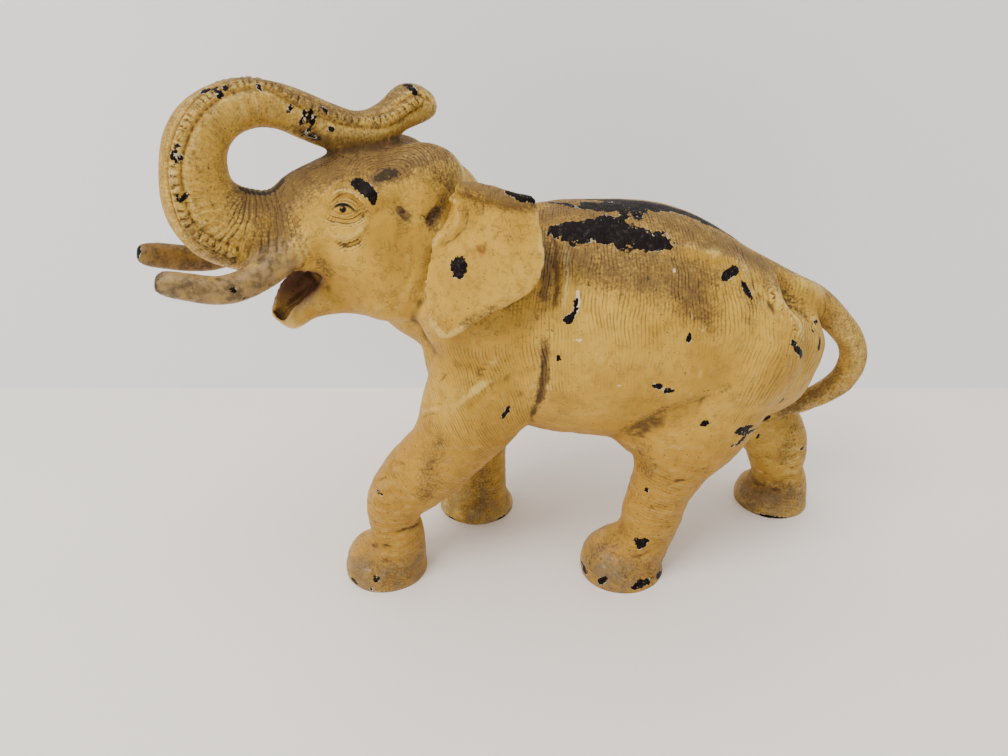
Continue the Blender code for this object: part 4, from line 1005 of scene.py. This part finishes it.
# Its cast lines: parallel grooves along the phase, each broken into dashes of its own, and two
# nets of cracks.
LINES_EVERY = 1.35
turns = phase * (1 / LINES_EVERY) + sway * 5 + jitter * 0.3
_, across, upright = paint.parts(paint.place)
strand = paint.add("ShaderNodeCombineXYZ", {}, {0: turns, 1: across * 250, 2: upright * 250})
strand_noise = paint.add("ShaderNodeTexNoise", {}, {"Vector": strand, "Scale": 1, "Detail": 2})
dashes = paint.smooth(strand_noise, 0.36, 0.6)
worn = paint.patches(15, 0.36, 0.62, 1) * 0.6 + 0.4
groove = (paint.smooth(paint.math("SINE", turns * tau), 0.1, 0.95) * (dashes * 0.85 + 0.15)
          * ring * worn * (1 - mouth_share))
crack = (paint.cracks(warped, 420, 0.01, 0.13) * crackle * paint.patches(4, 0.4, 0.65, 2)
         + paint.cracks(warped, 900, 0.02, 0.2) * paint.patches(4, 0.42, 0.7, 2)
         * (crackle * 0.3 + 0.12))
lines = (groove + crack * 0.65).clip()
grime = paint.smooth(wash_and_shade + (speckle - 0.5) * 1.5 + (paint.noise(3, 3, 0.6) - 0.5) * 0.8
                     + lines * 0.35, 1.15, 1.6)

# Where it is off: ragged edges, ragged more at the big places, with pale primer round them.
ragged = ((paint.noise(1.3, 4, 0.7) - 0.5) * 2.4
          + (paint.noise(4.5, 3, 0.65) - 0.5) * chip_size * 1.5)
edge = chip + ragged - 0.2
remnant = paint.patches(1.3, 0.64, 0.68, 3, 0.7) * paint.smooth(edge, -2.4, -0.3)
bare = (1 - paint.smooth(edge, -0.07, 0.07)) * (1 - remnant * 0.9)
rim = (1 - paint.smooth(edge, 0.1, 0.4)) * paint.patches(2.6, 0.5, 0.6, 3, 0.6)
flecks = paint.patches(1, 0.69, 0.73, 2) * paint.patches(18, 0.4, 0.55, 2)

near_leg = (1 - paint.smooth(upright, 0.06, 0.1)) * (1 - paint.smooth(across, 0, 0.01))
near_tusk, far_tusk = tusk.clip(), (tusk * -1).clip()
mottle = paint.patches(3.4, 0.36, 0.6, 4, 0.65)
near_horn = paint.mix(mottle, (0.09, 0.058, 0.026), (0.29, 0.18, 0.072))
far_horn = paint.mix(mottle, (0.06, 0.03, 0.01), (0.2, 0.1, 0.022))
from_rust = paint.add("ShaderNodeVectorMath", {"operation": "DISTANCE"},
                      {0: paint.place, 1: RUST}, 1)
rust = 1 - paint.smooth(from_rust + (jitter - 0.5) * 0.004, 0.0004, 0.0026)
scrape = paint.smooth(ink * -1 + (speckle - 0.5) * 1.2, 0.42, 0.55)
metal = paint.mix(paint.patches(2, 0.5, 0.78, 4, 0.7), (0.0125, 0.0095, 0.009),
                  (0.055, 0.047, 0.044))

# Layers of colour over the ochre, from the paint's own unevenness to the iron where it is off.
colour = paint.mix(paint.patches(24, 0.34, 0.66), (0.46, 0.255, 0.032), (0.62, 0.37, 0.056))
for share, tint in (
        (paint.patches(6, 0.48, 0.75) * 0.5, (0.38, 0.19, 0.024)),
        (paint.patches(9, 0.55, 0.8, 3, 0.6) * 0.45, (0.68, 0.45, 0.085)),
        # Paler on the ridges: the paint worn pale there, and a painted highlight.
        (paint.smooth(fine, -0.012, -0.09) * 0.6, (0.76, 0.53, 0.13)),
        (near_leg * 0.65, (0.42, 0.21, 0.028)),
        (stain_and_shade * 0.88, (0.13, 0.076, 0.03)),
        (lines * (stain_and_shade * 0.4 + 0.5), (0.09, 0.047, 0.018)),
        (foot * paint.patches(7, 0.3, 0.7, 3, 0.6) * 0.7, (0.2, 0.14, 0.08)),
        (near_tusk * (paint.patches(6, 0.3, 0.5) * 0.45 + 0.5), near_horn),
        (far_tusk * 0.85, far_horn),
        (mouth_share * 0.85, (0.17, 0.075, 0.056)),
        # Darker brown in the fine hollows: the wash and dirt there, and painted shade.
        (paint.smooth(fine, 0.012, 0.1) * 0.85, (0.075, 0.039, 0.016)),
        # Darker in the broad hollows of the figure: dirt there, and painted shade.
        (paint.smooth(broad, 0.15, 1.4) * (1 - mouth_share) * 0.7, (0.12, 0.068, 0.03)),
        (grime * 0.88, (0.032, 0.02, 0.012)),
        (rust * 0.75, (0.2, 0.055, 0.012)),
        (flecks * 0.9, (0.045, 0.027, 0.018)),
        (ink.clip(), (0.006, 0.005, 0.005)),
        (scrape * 0.85, (0.8, 0.68, 0.42)),
        (rim, (0.62, 0.52, 0.35)),
        (bare, metal)):
    colour = paint.mix(share, colour, tint)
shine = 0.42 + grit * 0.2 + stain_and_shade * 0.14 - mouth_share * 0.1
coat = paint.smooth(fine, 0.02, -0.12) * (1 - stain_and_shade * 0.7) * (1 - bare) * 0.5
height = grit * 0.07 - lines * 0.17 - bare * 0.14 + paint.noise(2.2, 3) * 0.16
paint.put(paint.shader.inputs["Metallic"], bare * 0.9)
paint.put(paint.shader.inputs["Coat Weight"], coat)
paint_material = paint.finish(colour, shine, height, Specular_IOR_Level=0.1, Coat_Roughness=0.22)

# Bare iron: inside the castings, on their joint faces and under the feet.
iron = Recipe("bare_iron")
scale = iron.noise(3, 3, 0.6)
colour = iron.mix(iron.smooth(scale, 0.4, 0.65), (0.03, 0.026, 0.024), (0.075, 0.05, 0.036))
colour = iron.mix(iron.patches(9, 0.55, 0.75) * 0.7, colour, (0.13, 0.055, 0.022))
iron_material = iron.finish(colour, 0.55 + scale * 0.3, scale * 0.2 + iron.noise(0.7, 2) * 0.08,
                            Metallic=0.35)


# Halves: parted along the body and the turned head, flat below the knees, hollow, with holes
# and seats for the screws.
WALL, CORE_VOXEL, JOINT_GAP = 4.2, 2.6, 0.05
SCREWS = ((10, 122), (92, 112))
BOSS_RADIUS, TAPPED_RADIUS, CLEAR_RADIUS, SEAT_RADIUS = 7.5, 2.7, 2.75, 5.3
TAPPED_REACH, CLEAR_START, SEAT_START, OUTSIDE = 13, -22, 37, 90
BEHIND, AHEAD, ABOVE = 600, 900, 420
SPECK_FACES = 60


def parting_line(offset, turned):
    turn = HEAD_TURN if turned else 0
    start = np.array([NECK_X + NECK_BEND, 0.0])
    line, lefts = [start + (BEHIND, 0)], [(0, -1)]
    if turned:
        radius = NECK_BEND / tan(turn / 2)
        for bend in np.linspace(0, turn, 7):
            lefts.append((sin(bend), -cos(bend)))
            line.append(start - (0, radius) - np.array(lefts[-1]) * radius)
    lefts.append((sin(turn), -cos(turn)))
    line.append(line[-1] - np.array([cos(turn), sin(turn)]) * AHEAD)
    return [tuple(point + np.array(left) * offset) for point, left in zip(line, lefts)]


def iron_object(name, bm):
    item = as_object(name, bm)
    item.data.materials.append(iron_material)
    return item


def prism(outline, low, high):
    bm = bmesh.new()
    face = bm.faces.new([bm.verts.new((*point, low)) for point in outline])
    rim = bmesh.ops.extrude_face_region(bm, geom=[face])["geom"]
    tops = [part for part in rim if isinstance(part, bmesh.types.BMVert)]
    bmesh.ops.translate(bm, vec=(0, 0, high - low), verts=tops)
    return iron_object("block", bm)


def half_space(side):
    blocks = []
    for low, high, turned in ((0, KNEE + WALL, False), (KNEE, ABOVE, True)):
        line = parting_line(-side * JOINT_GAP, turned)
        outline = line + [(x, side * AHEAD) for x, _ in (line[-1], line[0])]
        blocks.append(prism(outline, low, high))
    boolean(blocks[0], blocks[1], "UNION")
    settled(blocks[0])
    bpy.data.objects.remove(blocks[1])
    return blocks[0]


def rod(place, radius, start, end):
    bm = bmesh.new()
    bmesh.ops.create_cone(bm, cap_ends=True, segments=48, radius1=radius, radius2=radius,
                          depth=abs(end - start),
                          matrix=Matrix.Translation((place[0], (start + end) / 2, place[1]))
                          @ Matrix.Rotation(radians(90), 4, "X"))
    return iron_object("rod", bm)


def mended(item):
    """Welds the slivers that a cut leaves, drops loose bits and closes pinholes."""
    bm = bmesh.new()
    bm.from_mesh(item.data)
    bmesh.ops.remove_doubles(bm, verts=bm.verts, dist=0.02)
    bmesh.ops.dissolve_degenerate(bm, edges=bm.edges, dist=0.01)
    bm.faces.index_update()
    left, specks = set(bm.faces), set()
    while left:
        island, fresh = set(), {left.pop()}
        while fresh:
            island |= fresh
            fresh = {face for one in fresh for edge in one.edges
                     for face in edge.link_faces} - island
        left -= island
        if len(island) < SPECK_FACES:
            specks |= island
    specks = sorted(specks, key=lambda face: face.index)
    bmesh.ops.delete(bm, geom=specks, context="FACES")
    bmesh.ops.holes_fill(bm, edges=[edge for edge in bm.edges if edge.is_boundary], sides=16)
    bmesh.ops.triangulate(bm, faces=[face for face in bm.faces if len(face.verts) > 4])
    bm.to_mesh(item.data)
    bm.free()


core_bm = bmesh.new()
for rows in (RIBS, NECK):
    loft(core_bm, rows, shrink=WALL)
for name in LEGS:
    loft(core_bm, [row for row in LEGS[name] if row[2] >= LEG_HOLLOW], shrink=WALL)
loft(core_bm, HEAD, TURN, WALL)
core = fused(iron_object("core", core_bm), CORE_VOXEL, 4)
bosses = [rod(place, BOSS_RADIUS, -OUTSIDE, OUTSIDE) for place in SCREWS]
for boss in bosses:
    boolean(core, boss, "DIFFERENCE")
settled(core)
tree = kdtree.KDTree(len(points))
for i, point in enumerate(points):
    tree.insert(point, i)
tree.balance()
mesh.materials.clear()
mesh.materials.append(paint_material)
halves = {}
for name, side in (("left_half", -1), ("right_half", 1)):
    half = bpy.data.objects.new(name, mesh.copy())
    scene.collection.objects.link(half)
    cutters = bpy.data.collections.new(name + "_cutters")
    scene.collection.children.link(cutters)
    if side < 0:
        holes = [rod(place, TAPPED_RADIUS, -TAPPED_REACH, TAPPED_REACH) for place in SCREWS]
    else:
        holes = [rod(place, radius, start, OUTSIDE) for place in SCREWS
                 for radius, start in ((CLEAR_RADIUS, CLEAR_START), (SEAT_RADIUS, SEAT_START))]
    for item in holes + [core]:
        cutters.objects.link(item)
    block = half_space(side)
    boolean(half, block, "INTERSECT")
    boolean(half, cutters, "DIFFERENCE")
    settled(half)
    mended(half)
    for item in holes + [block]:
        bpy.data.objects.remove(item)
    bpy.data.collections.remove(cutters)
    halves[name] = half
for item in bosses + [core, figure]:
    bpy.data.objects.remove(item)
for name, half in halves.items():
    data = half.data
    near = np.array([tree.find(vertex.co)[1] for vertex in data.vertices])
    for key, values in ATTRIBUTES.items():
        attribute = data.attributes.new(key, "FLOAT_VECTOR", "POINT")
        attribute.data.foreach_set("vector", np.array(values).T[near].astype(np.float32).ravel())
    data.transform(TO_ROW)
    data.shade_smooth()
    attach(half, "root")
    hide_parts(name.replace("half", "casting"))

# Screws: dark slotted iron with a little rust.
steel = Recipe("screw_iron")
scale = steel.noise(1.2, 3, 0.6)
colour = steel.mix(steel.smooth(scale, 0.38, 0.66), (0.05, 0.044, 0.04), (0.12, 0.1, 0.088))
colour = steel.mix(steel.patches(2.6, 0.52, 0.7) * 0.75, colour, (0.14, 0.05, 0.018))
steel_material = steel.finish(colour, 0.36 + scale * 0.3, scale * 0.05, Metallic=0.7)
for name in ("front_screw", "rear_screw"):
    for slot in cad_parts[name].material_slots:
        slot.material = steel_material
